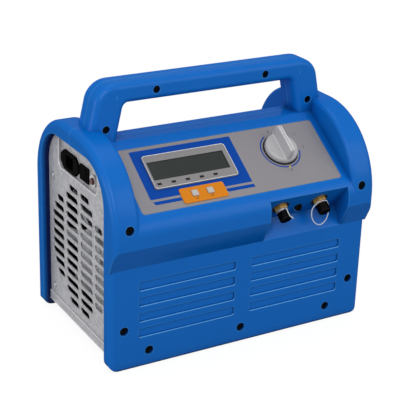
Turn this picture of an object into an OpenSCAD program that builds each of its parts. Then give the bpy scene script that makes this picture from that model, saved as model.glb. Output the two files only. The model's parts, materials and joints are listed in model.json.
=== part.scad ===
// Portable refrigerant recovery machine: two moulded half shells on a sheet metal chassis,
// with slotted end panels, a sloping control face, flare ports, a fan, condenser and compressor.
// Millimetres. X runs along the machine, -Y is the front, +Z is up, z = 0 is the floor.

/* [Casing] */
// Length between the outer faces of the end rims
body_l = 400; // [385:1:440]
// Distance from the middle to the front of the bulge
front_reach = 125; // [123:0.5:132]
// Distance from the middle to the back face
rear_reach = 127.5; // [125:0.5:140]
// How far the lower front face sits behind the bulge
bulge_out = 16; // [12:1:20]
// Height of the top of the end rims above the floor
rim_top = 303; // [300:1:315]
// Width of each end rim
rim_w = 37; // [34:0.5:42]
// Radius of the rim over the front
front_arc = 113; // [108:1:116]
// Radius of the rim over the back
rear_arc = 91.5; // [84:0.5:94]
// Rounding of the outer rim edge
rim_round = 9; // [5:0.5:11]
// Rounding of the rim edge beside the trough
rim_inner_round = 6; // [3:0.5:8]
// Moulded wall thickness
wall = 4; // [3:0.25:4.5]
// Height of the lower edge of the shells above the floor
shell_lift = 3; // [2:0.5:5]
// Radius of the lower corners of the front and back faces
corner_r = 14; // [8:1:18]
// Position of the plane where the half shells meet
seam_y = 10; // [6:0.5:14]
// Height where the undercut leaves the lower front face
undercut_low = 148; // [140:1:150]
// Height of the lower edge of the bulge
undercut_high = 181; // [178:1:184]

/* [Control face] */
// Slope of the control face
label_tilt = 33.5; // [31:0.5:35]
// Distance of the label's lower edge behind the front of the bulge
label_set = 15.4; // [14:0.1:18]
// Height of the lower edge of the label
label_low = 219.7; // [218:0.1:222]
// Border between the label and each end rim
label_gap = 10; // [7:0.5:13]
// Width of the label up the slope
label_w = 102.5; // [100:0.5:104]
// Thickness of the label plate
label_t = 1; // [0.6:0.1:1.4]
// Height of the flat top behind the control face
trough_top = 284.5; // [282:0.5:287]
// Distance from the middle to the back edge of the flat top
flat_rear = 24; // [18:0.5:32]
// Radius of the rounded lip below the label
lip_r = 28; // [24:1:30]

/* [Carry handle] */
// Height of the top of the handle
handle_top = 361.5; // [358:0.5:370]
// Depth of the handle from front to back
handle_d = 42; // [38:1:46]
// Height of the hand bar
bar_h = 28; // [25:0.5:30]
// Width of each handle leg
leg_w = 43; // [41:0.5:46]
// Lean of the handle legs
leg_lean = 12.5; // [9:0.5:14]
// Outer radius of the handle corners
handle_corner = 32; // [30:0.5:36]
// Distance of a handle corner's centre from the end rim
handle_set = 21.5; // [20:0.5:28]
// Rounding of the handle edges
handle_round = 9; // [6:0.5:10]

/* [End panels] */
// Depth of the end panels below the rim faces
panel_sink = 12; // [8:0.5:13]
// Sheet metal thickness
sheet = 1.5; // [1:0.1:2]
// Width of the end rim's face in front of the end opening
front_border = 15.5; // [14:0.5:17]
// Width of the end rim's face behind the end opening
rear_border = 20.5; // [18.5:0.5:23.5]
// Top of the end opening
opening_top = 281; // [279:0.5:283]
// Corner radius of the end opening
opening_r = 55; // [45:1:60]
// Height of each slot
slot_h = 9; // [6:0.25:10]
// Spacing of the slot rows
slot_row = 14; // [12:0.5:16]
// Spacing of the slot columns
slot_col = 46; // [42:1:50]
// Metal between two slots of a row
slot_gap = 7; // [4:0.5:10]
// Radius of the slotted field
slot_field = 94; // [86:1:94]
// Depth of the pocket round the electrics
pocket_sink = 4; // [3:0.5:6]

/* [Base] */
// Height of the underside of the base pan
pan_z = 14; // [12:0.5:16]
// Height of the pan's long flanges
pan_flange = 20; // [18:0.5:24]
// Height of the pan's end lips
pan_lip = 13; // [10:0.5:15]
// Diameter of the rubber feet
foot_d = 24; // [18:1:30]

/* [Screws] */
// Diameter of the counterbored screw holes
bore_d = 12.5; // [11:0.25:14]
// Screw head diameter
head_d = 10.5; // [9:0.25:11]
// Screw head height
head_h = 3.2; // [2.4:0.1:4]
// Screw shank diameter
shank_d = 4; // [3:0.25:5]
// Plastic left under a screw head
screw_seat = 9; // [6:0.25:10]

/* [Ports] */
// Middle of the port recess along X
recess_x = 93; // [90:1:96]
// Length of the port recess
recess_l = 126; // [122:1:132]
// Depth of the recess behind the front of the bulge
valley_set = 34; // [32:0.5:35]
// Height of the valley of the recess
valley_z = 171; // [169:0.5:173]
// Downward tilt of the ports
port_tilt = 38; // [34:0.5:42]
// Middle of the two ports along X
port_x = 87.5; // [85:0.5:90]
// Spacing of the two ports
port_pitch = 63; // [60:0.5:66]
// Height of the ports up the recess wall
port_up = 26; // [25:0.25:27]
// Diameter of the port collars
collar_d = 26; // [22:0.5:28]
// Width across the flats of the port hexagon
hex_af = 17; // [15:0.5:18]
// Diameter of the flare thread
thread_d = 11.1; // [10:0.1:12]
// Diameter of the port caps
cap_d = 17; // [16:0.25:18]
// Length of the port caps
cap_l = 12.2; // [11.6:0.1:14]
// Mean radius of the cap strap loops
strap_r = 17.5; // [16.5:0.25:18.5]
// Thickness of the cap straps
strap_t = 1.8; // [1.2:0.1:2.2]

/* [Display and keys] */
// Middle of the display along X
display_x = -59.3; // [-64:0.5:-56]
// Length of the display bezel
bezel_l = 124.5; // [122:0.5:128]
// Width of the display bezel up the slope
bezel_w = 53; // [50:0.5:56]
// Distance of the bezel's middle up the label
bezel_up = 59.3; // [58:0.1:62]
// Height of the bezel above the label
bezel_h = 3; // [2:0.25:4]
// Length of the display window
lcd_l = 113; // [108:0.5:116]
// Width of the display window
lcd_w = 28; // [24:0.5:29]
// Spacing of the indicator lamps
lamp_pitch = 20.8; // [18:0.2:22]
// Length of the key pad
pad_l = 66; // [60:0.5:72]
// Width of the key pad
pad_w = 23.5; // [22:0.5:24]
// Distance of the key pad's middle up the label
pad_up = 16.3; // [15:0.1:18]
// Thickness of the key pad
pad_t = 1.2; // [0.8:0.1:2]
// Side of the square push buttons
key_w = 9; // [7:0.25:11]
// Spacing of the push buttons
key_pitch = 22.8; // [18:0.2:28]
// Height of the push buttons above the pad
key_h = 1.8; // [1.4:0.1:2.5]

/* [Selector] */
// Middle of the knob along X
knob_x = 83; // [80:0.5:86]
// Distance of the knob's middle up the label
knob_up = 61; // [58:0.5:64]
// Diameter of the knob's disc
knob_d = 47; // [40:0.5:52]
// Height of the knob's disc
knob_h = 8; // [6:0.25:10]
// Width of the knob's bar grip
grip_w = 7.5; // [6:0.25:10]
// Height of the bar grip above the disc
grip_h = 17; // [12:0.5:20]
// Stem diameter
stem_d = 8; // [6:0.25:10]
// Diameter of the rotary valve body
valve_d = 40; // [36:0.5:44]
// Length of the rotary valve body
valve_l = 38; // [32:0.5:42]

/* [Electrics] */
// Middle of the mains inlet along Y
mains_y = 40.5; // [38:0.5:43]
// Height of the row of electrics
electric_z = 244; // [243:0.5:246]
// Length of the mains inlet flange
mains_l = 56; // [50:0.5:58]
// Height of the mains inlet flange
mains_h = 27; // [24:0.5:28]
// Middle of the mains switch along Y
switch_y = -5; // [-7:0.5:-3]
// Length of the switch bezel
switch_l = 26; // [24:0.5:28]
// Height of the switch bezel
switch_h = 21; // [19:0.5:23]
// Middle of the breaker along Y
breaker_y = -33; // [-35:0.5:-31]
// Diameter of the breaker's nut
breaker_d = 17; // [15:0.5:19]

/* [Fan and coil] */
// Middle of the fan along Y
fan_y = 7; // [5:0.5:9]
// Height of the fan's middle
fan_z = 127; // [126:0.5:129]
// Diameter swept by the blades
fan_d = 176; // [150:1:180]
// Number of blades
blades = 7; // [4:1:9]
// Depth of the fan ring
ring_d = 30; // [24:1:34]
// Diameter of the fan hub
hub_d = 58; // [48:1:64]
// Diameter of the fan motor
fan_motor_d = 52; // [44:1:60]
// Length of the fan motor
fan_motor_l = 30; // [24:1:34]
// Thickness of the condenser
coil_t = 32; // [26:1:34]
// Rows of condenser tubes
coil_rows = 8; // [5:1:9]
// Diameter of the condenser tubes
coil_tube = 8; // [6:0.25:9.5]

/* [Compressor] */
// Middle of the compressor along X
pump_x = 42; // [38:0.5:46]
// Middle of the compressor along Y
pump_y = 22; // [18:0.5:26]
// Height of the rubber mounts
mount_h = 15; // [12:0.5:18]
// Diameter of the compressor motor
motor_d = 104; // [96:1:110]
// Length of the compressor motor
motor_l = 84; // [70:1:88]
// Length of the crankcase
case_l = 62; // [54:1:66]
// Width of the crankcase
case_w = 84; // [76:1:90]
// Height of the crankcase
case_h = 88; // [80:1:94]
// Diameter of the cylinder barrels
barrel_d = 46; // [40:1:50]
// Height of the cylinder barrels
barrel_h = 34; // [28:1:38]
// Outside diameter of the copper pipes
pipe_d = 8; // [6:0.25:9]

/* [Hidden] */
$fn = 64;

blue = "#1c6cc0";
label_grey = "#8e8c90";
pale_grey = "#b4b0aa";
metal = "#a3a3a8";
black = "#1b1b1d";
brass = "#b98a3c";

end_x = body_l / 2;
rim_x = end_x - rim_w;                    // inner wall of each end rim
panel_x = end_x - panel_sink;             // outer face of each end panel
face_y = -(front_reach - bulge_out);      // lower front face
front_cy = front_arc - front_reach;       // centre of the front rim arc
front_cz = rim_top - front_arc;
rear_cy = rear_reach - rear_arc;          // centre of the back rim arc
rear_cz = rim_top - rear_arc;
rim_deep = 34;                            // depth of the swept rim section
past = 1;                                 // overrun of cutting solids
clear = 0.3;                              // clearance between pieces that slip together
run_clear = 0.05;                         // radial clearance of a running fit
opening_front = front_reach - bulge_out - front_border;
opening_rear = rear_reach - rear_border;
flange_front = opening_front - clear;     // outer face of the chassis front flanges
flange_rear = opening_rear - clear;
floor_z = pan_z + sheet;                  // inside of the base pan
label_front = front_reach - label_set;
label_l = 2 * (rim_x - label_gap);
valley_front = front_reach - valley_set;
handle_reach = rim_x - handle_set;        // centre of a handle corner
handle_y = seam_y - handle_d / 2;         // front face of the handle
corner_z = handle_top - handle_corner;    // centre height of the handle corners
bar_z = handle_top - bar_h / 2;           // middle of the hand bar
groove_x = 12;                            // inner end of the moulded bands
groove_l = rim_x - groove_x - 6;
groove_h = 12.8;
groove_deep = 2;
groove_z = 46;
groove_pitch = 22.6;
low_screw_z = 24;
low_screw_x = rim_x - 22;
side_screw_x = end_x - 22;
side_screw_z = [60, 208];
bar_screw_x = 84;
leg_screw_x = rim_x - 6;
leg_screw_z = 302;
handle_seat = 14.5;                       // plastic under a handle screw's head
handle_grip = 12;                         // its thread in the back half
panel_screw_in = 14;                      // panel screws from the panel's edge
panel_screw_z = [40, 209];
slot_rows = 13;
pocket_low = 228;
pocket_rear = 73;
pocket_front = -50;
pocket_r = 10;
pocket_floor = panel_x - pocket_sink;     // outer face of the pocket floor
mains_cup_l = 28;
mains_cup_h = 21;
mains_cup_deep = 16;
rocker_lean = 8;
key_gap = 0.3;
board_drop = 16;                          // control board below the control face
ring_x = panel_x - 18;                    // front face of the fan shroud
ring_wall = 2;
coil_x = ring_x - ring_d - fan_motor_l - 12;
base_plate = 4;
motor_z = floor_z + mount_h + base_plate + motor_d / 2;
port_root = 6;                            // brass below the recess wall

// Line heights of the middle profile, moved inwards by t
function label_at(y, t) = label_low + (y + label_front) * tan(label_tilt) - t / cos(label_tilt);
function label_y(z, t) = -label_front + (z - label_low + t / cos(label_tilt)) / tan(label_tilt);
function under_slope() = (undercut_high - undercut_low) / bulge_out;
function under_at(y, t) = undercut_low - (y - face_y) * under_slope() + t * sqrt(1 + pow(under_slope(), 2));

// Centres of the rounded lips, and the back slope from the flat top down to its lip
front_lip_y = lip_r - front_reach;
rear_lip_y = rear_reach - lip_r;
lip_z = label_at(-front_reach, 0) - lip_r * tan(45 - label_tilt / 2);
rear_drop = [rear_lip_y - flat_rear, trough_top - lip_z];
rear_tilt = atan2(rear_drop[1], rear_drop[0]) - asin(lip_r / norm(rear_drop));

// A rectangle with true round corners
module rounded(w, h, r) {
  square([w - 2 * r, h], center = true);
  square([w, h - 2 * r], center = true);
  for (x = [-1, 1], y = [-1, 1]) translate([x * (w / 2 - r), y * (h / 2 - r)]) circle(r);
}

// A rectangle with its corners cut off
module chamfered(w, h, cut_w, cut_h) intersection() {
  square([w, h], center = true);
  polygon([
    [-w / 2, cut_h - h / 2], [cut_w - w / 2, -h / 2], [w / 2 - cut_w, -h / 2], [w / 2, cut_h - h / 2],
    [w / 2, h / 2 - cut_h], [w / 2 - cut_w, h / 2], [cut_w - w / 2, h / 2], [-w / 2, h / 2 - cut_h]]);
}

// What a round corner leaves of a square one, at the origin
module corner_waste(r) difference() {
  translate([-past, -past]) square(r + past);
  translate([r, r]) circle(r);
}

// Half of a solid that is mirrored to both ends
module both_ends() {
  children();
  mirror([1, 0, 0]) children();
}

// A drawing in Y and Z, extruded along X from x0 to x1
module along_x(x0, x1) translate([x0, 0, 0]) rotate([90, 0, 90]) linear_extrude(x1 - x0) children();

// A solid along +Y from y0 to y1, drawn in X and Z
module along_y(y0, y1) translate([0, y1, 0]) rotate([90, 0, 0]) linear_extrude(y1 - y0) children();

// A round bar along Y
module rod_y(x, z, d, y0, y1) translate([x, y0, z]) rotate([-90, 0, 0]) cylinder(d = d, h = y1 - y0);

// A round bar along X
module rod_x(y, z, d, x0, x1) translate([x0, y, z]) rotate([0, 90, 0]) cylinder(d = d, h = x1 - x0);

// Section of an end rim: depth below the surface, then width along X
module rim_section() difference() {
  square([rim_deep, rim_w]);
  corner_waste(rim_inner_round);
  translate([0, rim_w]) mirror([0, 1]) corner_waste(rim_round);
}

// The rim section swept round a quarter turn about X, and along a straight run back from that angle
module rim_bend(r, from) rotate([0, 90, 0]) rotate([0, 0, from])
  rotate_extrude(angle = 90) translate([r, 0]) mirror([1, 0]) rim_section();
module rim_run(r, from, len) rotate([0, 90, 0]) rotate([0, 0, from])
  translate([r, 0, 0]) rotate([90, 0, 0]) linear_extrude(len) mirror([1, 0]) rim_section();

// One end rim: back, back arc, top, front arc, bulge and lower front
module rim() translate([rim_x, 0, 0]) {
  translate([0, rear_cy, rear_cz]) rim_run(rear_arc, 90, rear_cz - shell_lift);
  translate([0, rear_cy, rear_cz]) rim_bend(rear_arc, 90);
  translate([0, front_cy, front_cz]) rim_run(front_arc, 180, rear_cy - front_cy);
  translate([0, front_cy, front_cz]) rim_bend(front_arc, 180);
  difference() {
    translate([0, front_cy, undercut_low]) rim_run(front_arc, 270, front_cz - undercut_low);
    along_x(-past, rim_w + past) polygon([
      [face_y + past, under_at(face_y + past, 0)], [-front_reach - past, under_at(-front_reach - past, 0)],
      [-front_reach - past, undercut_low - past], [face_y + past, undercut_low - past]]);
  }
  translate([0, front_cy, shell_lift])
    rim_run(front_arc - bulge_out, 270, front_cz - shell_lift);
}

// Side profile of the middle of the casing, moved inwards by t and down to z = low
module middle_profile(t, low) {
  r = lip_r - t;
  polygon([
    [face_y + t, low], [face_y + t, under_at(face_y + t, t)],
    [-front_reach + t, under_at(-front_reach + t, t)], [-front_reach + t, lip_z],
    [front_lip_y - r * sin(label_tilt), lip_z + r * cos(label_tilt)],
    [label_y(trough_top - t, t), trough_top - t], [flat_rear - t * tan(rear_tilt / 2), trough_top - t],
    [rear_lip_y + r * sin(rear_tilt), lip_z + r * cos(rear_tilt)],
    [rear_reach - t, lip_z], [rear_reach - t, low]]);
  for (y = [front_lip_y, rear_lip_y]) translate([y, lip_z]) circle(r);
}

// The end wall of the trough, inside the swept rim
module trough_wall_profile() {
  inset = rim_deep / 3;
  translate([front_cy, front_cz]) circle(front_arc - inset);
  translate([rear_cy, rear_cz]) circle(rear_arc - inset);
  translate([face_y + inset, front_cz - inset]) square([rear_reach - face_y - 2 * inset, inset]);
  translate([front_cy, front_cz]) square([rear_cy - front_cy, front_arc - inset]);
}

// Outline of an end opening, moved inwards by t, from z = low
module opening_outline(t, low) {
  r = opening_r - t;
  y0 = -opening_front + t;
  y1 = opening_rear - t;
  top = opening_top - t;
  translate([y0, low]) square([y1 - y0, top - r - low]);
  translate([y0 + r, top - r]) square([y1 - y0 - 2 * r, r]);
  translate([y0 + r, top - r]) circle(r);
  translate([y1 - r, top - r]) circle(r);
}

// Corner of the hand opening: its centre lies in the plane where the leg ends
leg_inset = leg_w - handle_corner;
leg_out = [cos(leg_lean), sin(leg_lean)];
grip_exact = (handle_corner - bar_h + leg_inset * leg_out[1]) / (1 - leg_out[1]);
grip_at = [for (v = [handle_reach, corner_z] - (leg_inset + grip_exact) * leg_out) round(100 * v) / 100];
grip_r = handle_top - bar_h - grip_at[1];
edge_deep = bar_h / 2 + 2;
leg_step = 0.05;                          // the legs sit this far inside the corner bends
leg_over = 0.5;                           // overlap of a leg with its corner

// Half of the handle section: a rounded face at x = 0 with its depth along +X
module handle_edge() difference() {
  translate([0, -handle_d / 2]) square([edge_deep, handle_d]);
  for (s = [0, 1]) mirror([0, s]) translate([0, -handle_d / 2]) corner_waste(handle_round);
}

// A drawing of radius and Y, turned from the bar to the leg about a corner centre in X and Z
module handle_turn(centre) translate([centre[0], seam_y, centre[1]]) rotate([-90, -90, 0])
  rotate_extrude(angle = 90 - leg_lean) children();

module handle_leg(t) translate([handle_reach, seam_y, corner_z]) rotate([0, -leg_lean, 0])
  translate([handle_corner - leg_w / 2, 0, leg_over]) rotate([180, 0, 0])
    linear_extrude((corner_z - trough_top + 2 * wall) / leg_out[0])
      rounded(leg_w - 2 * t - 2 * leg_step, handle_d - 2 * t - 2 * leg_step, handle_round - t);

// Flat sided middle of a handle corner, between its outer and inner bends
module handle_core() {
  top = bar_z + past;
  far = 2 * handle_corner;
  low = leg_over * [leg_out[1], -leg_out[0]];
  mid = [handle_reach, corner_z];
  along_y(handle_y, handle_y + handle_d) difference() {
    union() {
      polygon([grip_at + low, [grip_at[0], top], [handle_reach, top], mid + low]);
      intersection() {
        translate(mid) circle(top - corner_z);
        polygon([mid + low, mid + low + far * leg_out, mid + [far, far], mid + [0, far]]);
      }
    }
    translate(grip_at) circle(grip_r + bar_h / 2 - past);
  }
}

// Carry handle: the upper half of the bar reaches further out than the lower half
module handle_form() {
  along_x(-handle_reach, handle_reach) translate([seam_y, handle_top]) rotate(-90) handle_edge();
  along_x(-grip_at[0], grip_at[0]) translate([seam_y, handle_top - bar_h]) rotate(90) handle_edge();
  both_ends() {
    handle_turn([handle_reach, corner_z]) translate([handle_corner, 0]) mirror([1, 0]) handle_edge();
    handle_turn(grip_at) translate([grip_r, 0]) handle_edge();
    handle_core();
    handle_leg(0);
  }
}

module handle_hollow() {
  along_x(-grip_at[0], grip_at[0]) translate([seam_y, bar_z])
    rounded(handle_d - 2 * wall, bar_h - 2 * wall, handle_round - wall);
  both_ends() {
    handle_turn(grip_at) translate([grip_r + bar_h / 2, 0])
      rounded(bar_h - 2 * wall, handle_d - 2 * wall, handle_round - wall);
    handle_leg(wall);
  }
}

// The moulded casing before it is parted, with the handle hollow and the ends open
module casing() difference() {
  union() {
    both_ends() {
      rim();
      along_x(rim_x, rim_x + wall) trough_wall_profile();
    }
    along_x(-rim_x - rim_inner_round - past, rim_x + rim_inner_round + past) middle_profile(0, shell_lift);
    handle_form();
  }
  along_x(-rim_x - wall - past, rim_x + wall + past) middle_profile(wall, -past);
  both_ends() {
    along_x(rim_x + wall, end_x + past) opening_outline(0, -past);
    for (y = [face_y, rear_reach]) along_y(y - rim_deep, y + rim_deep)
      translate([end_x, shell_lift]) mirror([1, 0]) corner_waste(corner_r);
  }
  difference() {
    handle_hollow();
    for (x = [-bar_screw_x, bar_screw_x])
      rod_y(x, bar_z, bore_d, handle_y, handle_y + handle_d);
    for (x = [-leg_screw_x, leg_screw_x])
      rod_y(x, leg_screw_z, bore_d + 2, handle_y, handle_y + handle_d);
  }
}

// Screw places on the front or back: X and Z
shell_screws = concat(
  [for (x = [-low_screw_x, 0, low_screw_x]) [x, low_screw_z]],
  [for (x = [-side_screw_x, side_screw_x], z = side_screw_z) [x, z]]);
handle_places = concat(
  [for (x = [-bar_screw_x, bar_screw_x]) [x, bar_z]],
  [for (x = [-leg_screw_x, leg_screw_x]) [x, leg_screw_z]]);

// Seats of the front screws: in the bulge they lie as far in as in the lower face
bite = 6;                                 // screw length past the chassis flange
function front_seat(z) = -flange_front - screw_seat - (z > undercut_high ? bulge_out : 0);

// Bosses that carry a shell's lower screws to the pan, from the wall at y0 to the flange at y1
module low_bosses(y0, y1) for (x = [-low_screw_x, 0, low_screw_x])
  rod_y(x, low_screw_z, bore_d + 4.5, min(y0, y1), max(y0, y1));

// Shallow moulded bands on a face
module bands(y) for (x = [-1, 1], i = [0:3])
  along_y(y - groove_deep, y + groove_deep)
    translate([x * (groove_x + groove_l / 2), groove_z + i * groove_pitch + groove_h / 2])
      rounded(groove_l, groove_h, 3);

// Places on the sloping control face: x, distance up the label, height off it
module on_label(x, up, off = 0)
  translate([x, -label_front + up * cos(label_tilt), label_low + up * sin(label_tilt)])
    rotate([label_tilt, 0, 0]) translate([0, 0, off]) children();

// Places on the recess wall, with +Z out along the ports
module at_port(x, up = port_up)
  translate([x, -valley_front - up * sin(port_tilt), valley_z + up * cos(port_tilt)])
    rotate([90 + port_tilt, 0, 0]) children();

port_places = [port_x - port_pitch / 2, port_x + port_pitch / 2];
tie_up = port_up - 8;                     // screw between the ports, level and not tilted
tie_z = valley_z + tie_up * cos(port_tilt);
tie_y = -valley_front - tie_up * sin(port_tilt);
recess_out = 70;

// V shaped recess for the ports, moved outwards by t
module port_recess(t) {
  tip = [-valley_front + t / sin(45 + port_tilt / 2), valley_z];
  floor_dir = [face_y + valley_front, undercut_low - valley_z];
  along_x(recess_x - recess_l / 2 - t, recess_x + recess_l / 2 + t) polygon([
    tip, tip + recess_out * [-sin(port_tilt), cos(port_tilt)], tip + recess_out * [-1, 0],
    tip + recess_out / norm(floor_dir) * floor_dir]);
}

// Hole behind the display window, which rests on a ledge round it
module display_hole() translate([lcd_x - display_x, lcd_up - bezel_up])
  square([lcd_l - 8, lcd_w - 4], center = true);

module front_shell() color(blue) difference() {
  intersection() {
    union() {
      casing();
      low_bosses(face_y + wall / 2, -flange_front);
      intersection() {
        port_recess(wall);
        along_x(-rim_x, rim_x) middle_profile(wall / 2, shell_lift);
      }
    }
    translate([-end_x - past, -2 * front_reach, -past])
      cube([body_l + 2 * past, 2 * front_reach + seam_y, handle_top + 2 * past]);
  }
  difference() {
    port_recess(0);
    rod_y(port_x, tie_z, bore_d + 2, tie_y, tie_y + 3 * wall);
  }
  bands(face_y);
  for (p = shell_screws) {
    rod_y(p[0], p[1], bore_d, -front_reach - past, front_seat(p[1]));
    rod_y(p[0], p[1], shank_d + 2 * clear, -front_reach - past, -flange_front + past);
  }
  for (p = handle_places) {
    rod_y(p[0], p[1], bore_d - 2, handle_y - past, seam_y - handle_seat);
    rod_y(p[0], p[1], shank_d + 2 * clear, handle_y, seam_y + past);
  }
  for (x = port_places) at_port(x) translate([0, 0, -2 * wall]) cylinder(d = collar_d, h = 3 * wall);
  rod_y(port_x, tie_z, bore_d - 1, tie_y - bore_d, tie_y);
  rod_y(port_x, tie_z, shank_d + 2 * clear, tie_y - past, tie_y + 3 * wall);
  on_label(0, label_w / 2, -label_t) linear_extrude(10) rounded(label_l, label_w, 4);
  on_label(knob_x, knob_up, -3 * wall) cylinder(d = stem_d + 4, h = 6 * wall);
  on_label(display_x, bezel_up, -3 * wall) linear_extrude(6 * wall) display_hole();
}

module rear_shell() color(blue) difference() {
  union() {
    intersection() {
      casing();
      translate([-end_x - past, seam_y, -past])
        cube([body_l + 2 * past, 2 * rear_reach, handle_top + 2 * past]);
    }
    low_bosses(rear_reach - wall / 2, flange_rear);
  }
  bands(rear_reach);
  for (p = shell_screws) {
    rod_y(p[0], p[1], bore_d, flange_rear + screw_seat, rear_reach + past);
    rod_y(p[0], p[1], shank_d + 2 * clear, flange_rear - past, rear_reach + past);
  }
  for (p = handle_places) rod_y(p[0], p[1], shank_d, seam_y - past, seam_y + handle_grip);
}

// A pan head screw with a cross recess, head outwards along -Z, seat at z = 0
module screw(len) {
  difference() {
    translate([0, 0, -head_h]) cylinder(d = head_d, h = head_h);
    for (a = [0, 90]) rotate([0, 0, a]) translate([-head_d / 3, -0.6, -head_h - past])
      cube([2 * head_d / 3, 1.2, past + head_h / 2]);
  }
  cylinder(d = shank_d, h = len);
}

module front_screws() color(black) for (p = shell_screws)
  translate([p[0], front_seat(p[1]), p[1]]) rotate([-90, 0, 0]) screw(bite - flange_front - front_seat(p[1]));

module rear_screws() color(black) for (p = shell_screws)
  translate([p[0], flange_rear + screw_seat, p[1]]) rotate([90, 0, 0]) screw(screw_seat + bite);

module handle_screws() color(black) for (p = handle_places)
  translate([p[0], seam_y - handle_seat, p[1]]) rotate([-90, 0, 0]) {
    difference() {
      translate([0, 0, -head_h]) cylinder(d = head_d - 1, h = head_h);
      for (a = [0, 90]) rotate([0, 0, a]) translate([-head_d / 3, -0.6, -head_h - past])
        cube([2 * head_d / 3, 1.2, past + head_h / 2]);
    }
    cylinder(d = shank_d, h = handle_seat);
    cylinder(d = shank_d - 0.2, h = handle_seat + handle_grip - past);
  }

module manifold_screw() color(black) translate([port_x, tie_y, tie_z]) rotate([-90, 0, 0]) screw(2 * wall);

// Rows of slots with round ends, kept inside the round field
module slots() for (i = [0:slot_rows - 1], c = [-2:1]) {
  z = (i - (slot_rows - 1) / 2) * slot_row;
  half = sqrt(max(0, pow(slot_field, 2) - pow(abs(z) + slot_h / 2, 2)));
  y0 = max(c * slot_col + slot_gap / 2, -half);
  y1 = min((c + 1) * slot_col - slot_gap / 2, half);
  if (y1 - y0 > 1.6 * slot_h) translate([fan_y, fan_z + z]) {
    translate([y0 + slot_h / 2, -slot_h / 2]) square([y1 - y0 - slot_h, slot_h]);
    translate([y0 + slot_h / 2, 0]) circle(d = slot_h);
    translate([y1 - slot_h / 2, 0]) circle(d = slot_h);
  }
}

// Middle of an end panel and half its width between the flanges
panel_mid = (opening_rear - opening_front) / 2;
panel_half = (opening_rear + opening_front) / 2 - clear;
panel_screw_y = [panel_mid - panel_half + panel_screw_in, panel_mid + panel_half - panel_screw_in];
flange_w = 20;
flange_top = opening_top - opening_r;

// An end panel at +X: slotted face, folded front and back flanges, and screw holes
module panel_sheet(with_pocket) {
  difference() {
    along_x(panel_x - sheet, panel_x) difference() {
      opening_outline(clear, floor_z);
      slots();
      for (y = panel_screw_y, z = panel_screw_z) translate([y, z]) circle(d = shank_d + 2 * clear);
    }
    if (with_pocket) along_x(panel_x - 2 * sheet, panel_x + past) pocket_outline(0);
  }
  difference() {
    for (y = [-flange_front, flange_rear - sheet]) translate([panel_x - flange_w, y, floor_z])
      cube([flange_w, sheet, flange_top - floor_z]);
    for (z = side_screw_z) rod_y(side_screw_x, z, shank_d + 2 * clear, -2 * front_reach, 2 * rear_reach);
  }
}

// Pocket for the electrics, kept inside the panel's own outline
module pocket_outline(t) intersection() {
  union() {
    translate([pocket_front + t, pocket_low + pocket_r])
      square([pocket_rear - pocket_front - 2 * t, opening_top - pocket_low]);
    translate([pocket_front + pocket_r, pocket_low + t])
      square([pocket_rear - pocket_front - 2 * pocket_r, opening_top - pocket_low]);
    for (y = [pocket_front + pocket_r, pocket_rear - pocket_r])
      translate([y, pocket_low + pocket_r]) circle(pocket_r - t);
  }
  opening_outline(clear + 6 + t, pan_z);
}

module left_end_panel() color(metal) mirror([1, 0, 0]) {
  panel_sheet(true);
  difference() {
    along_x(pocket_floor - sheet, panel_x) pocket_outline(0);
    along_x(pocket_floor, panel_x + past) pocket_outline(sheet);
    mains_hole();
    translate([pocket_floor - sheet - past, switch_y, electric_z])
      cube_yz(sheet + 2 * past, switch_l - 4 + 2 * clear, switch_h - 4 + 2 * clear);
    rod_x(breaker_y, electric_z, breaker_d - 5 + 2 * clear, pocket_floor - sheet - past, panel_x);
  }
}

module right_end_panel() color(metal) panel_sheet(false);

// A block centred in Y and Z on the origin, running along +X
module cube_yz(x, y, z) translate([0, -y / 2, -z / 2]) cube([x, y, z]);

module mains_hole() translate([pocket_floor - sheet - past, mains_y, electric_z])
  cube_yz(sheet + 2 * past, mains_cup_l + 2 * clear, mains_cup_h + 2 * clear);

module panel_screws() color(metal) both_ends() for (y = panel_screw_y, z = panel_screw_z)
  translate([panel_x, y, z]) rotate([0, -90, 0]) {
    translate([0, 0, -2.4]) intersection() {
      cylinder(d = head_d - 1.5, h = 2.4);
      translate([0, 0, 5]) sphere(r = 6.4);
    }
    cylinder(d = shank_d, h = 8);
  }

module base_pan() color(metal) difference() {
  union() {
    translate([-panel_x - sheet, -flange_front, pan_z])
      cube([2 * (panel_x + sheet), flange_front + flange_rear, sheet]);
    for (y = [-flange_front, flange_rear - sheet]) translate([-rim_x, y, pan_z])
      cube([2 * rim_x, sheet, pan_flange]);
    both_ends() translate([panel_x, -flange_front, pan_z])
      cube([sheet, flange_front + flange_rear, pan_lip]);
  }
  for (x = [-low_screw_x, 0, low_screw_x])
    rod_y(x, low_screw_z, shank_d + 2 * clear, -2 * front_reach, 2 * rear_reach);
}

module rubber_feet() color(black)
  for (x = [-1, 1], y = [-flange_front + foot_d, flange_rear - foot_d])
    translate([x * (rim_x - foot_d / 2), y, 0]) rotate_extrude() polygon([
      [0, 0], [foot_d / 2 - 3, 0], [foot_d / 2 - 2, 1], [foot_d / 2, pan_z], [0, pan_z]]);

module control_label() color(label_grey) on_label(0, label_w / 2, -label_t) difference() {
  linear_extrude(label_t) rounded(label_l - 2 * clear, label_w - 2 * clear, 4);
  translate([knob_x, knob_up - label_w / 2, -past]) cylinder(d = stem_d + 4, h = label_t + 2 * past);
  translate([display_x, bezel_up - label_w / 2, -past]) linear_extrude(label_t + 2 * past) display_hole();
}

lcd_x = display_x - 2;
lcd_up = bezel_up + 1;
lamp_x = display_x - 12.6;
lamp_up = bezel_up - 19.7;
lamp_size = [6, 3.2];

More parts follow.
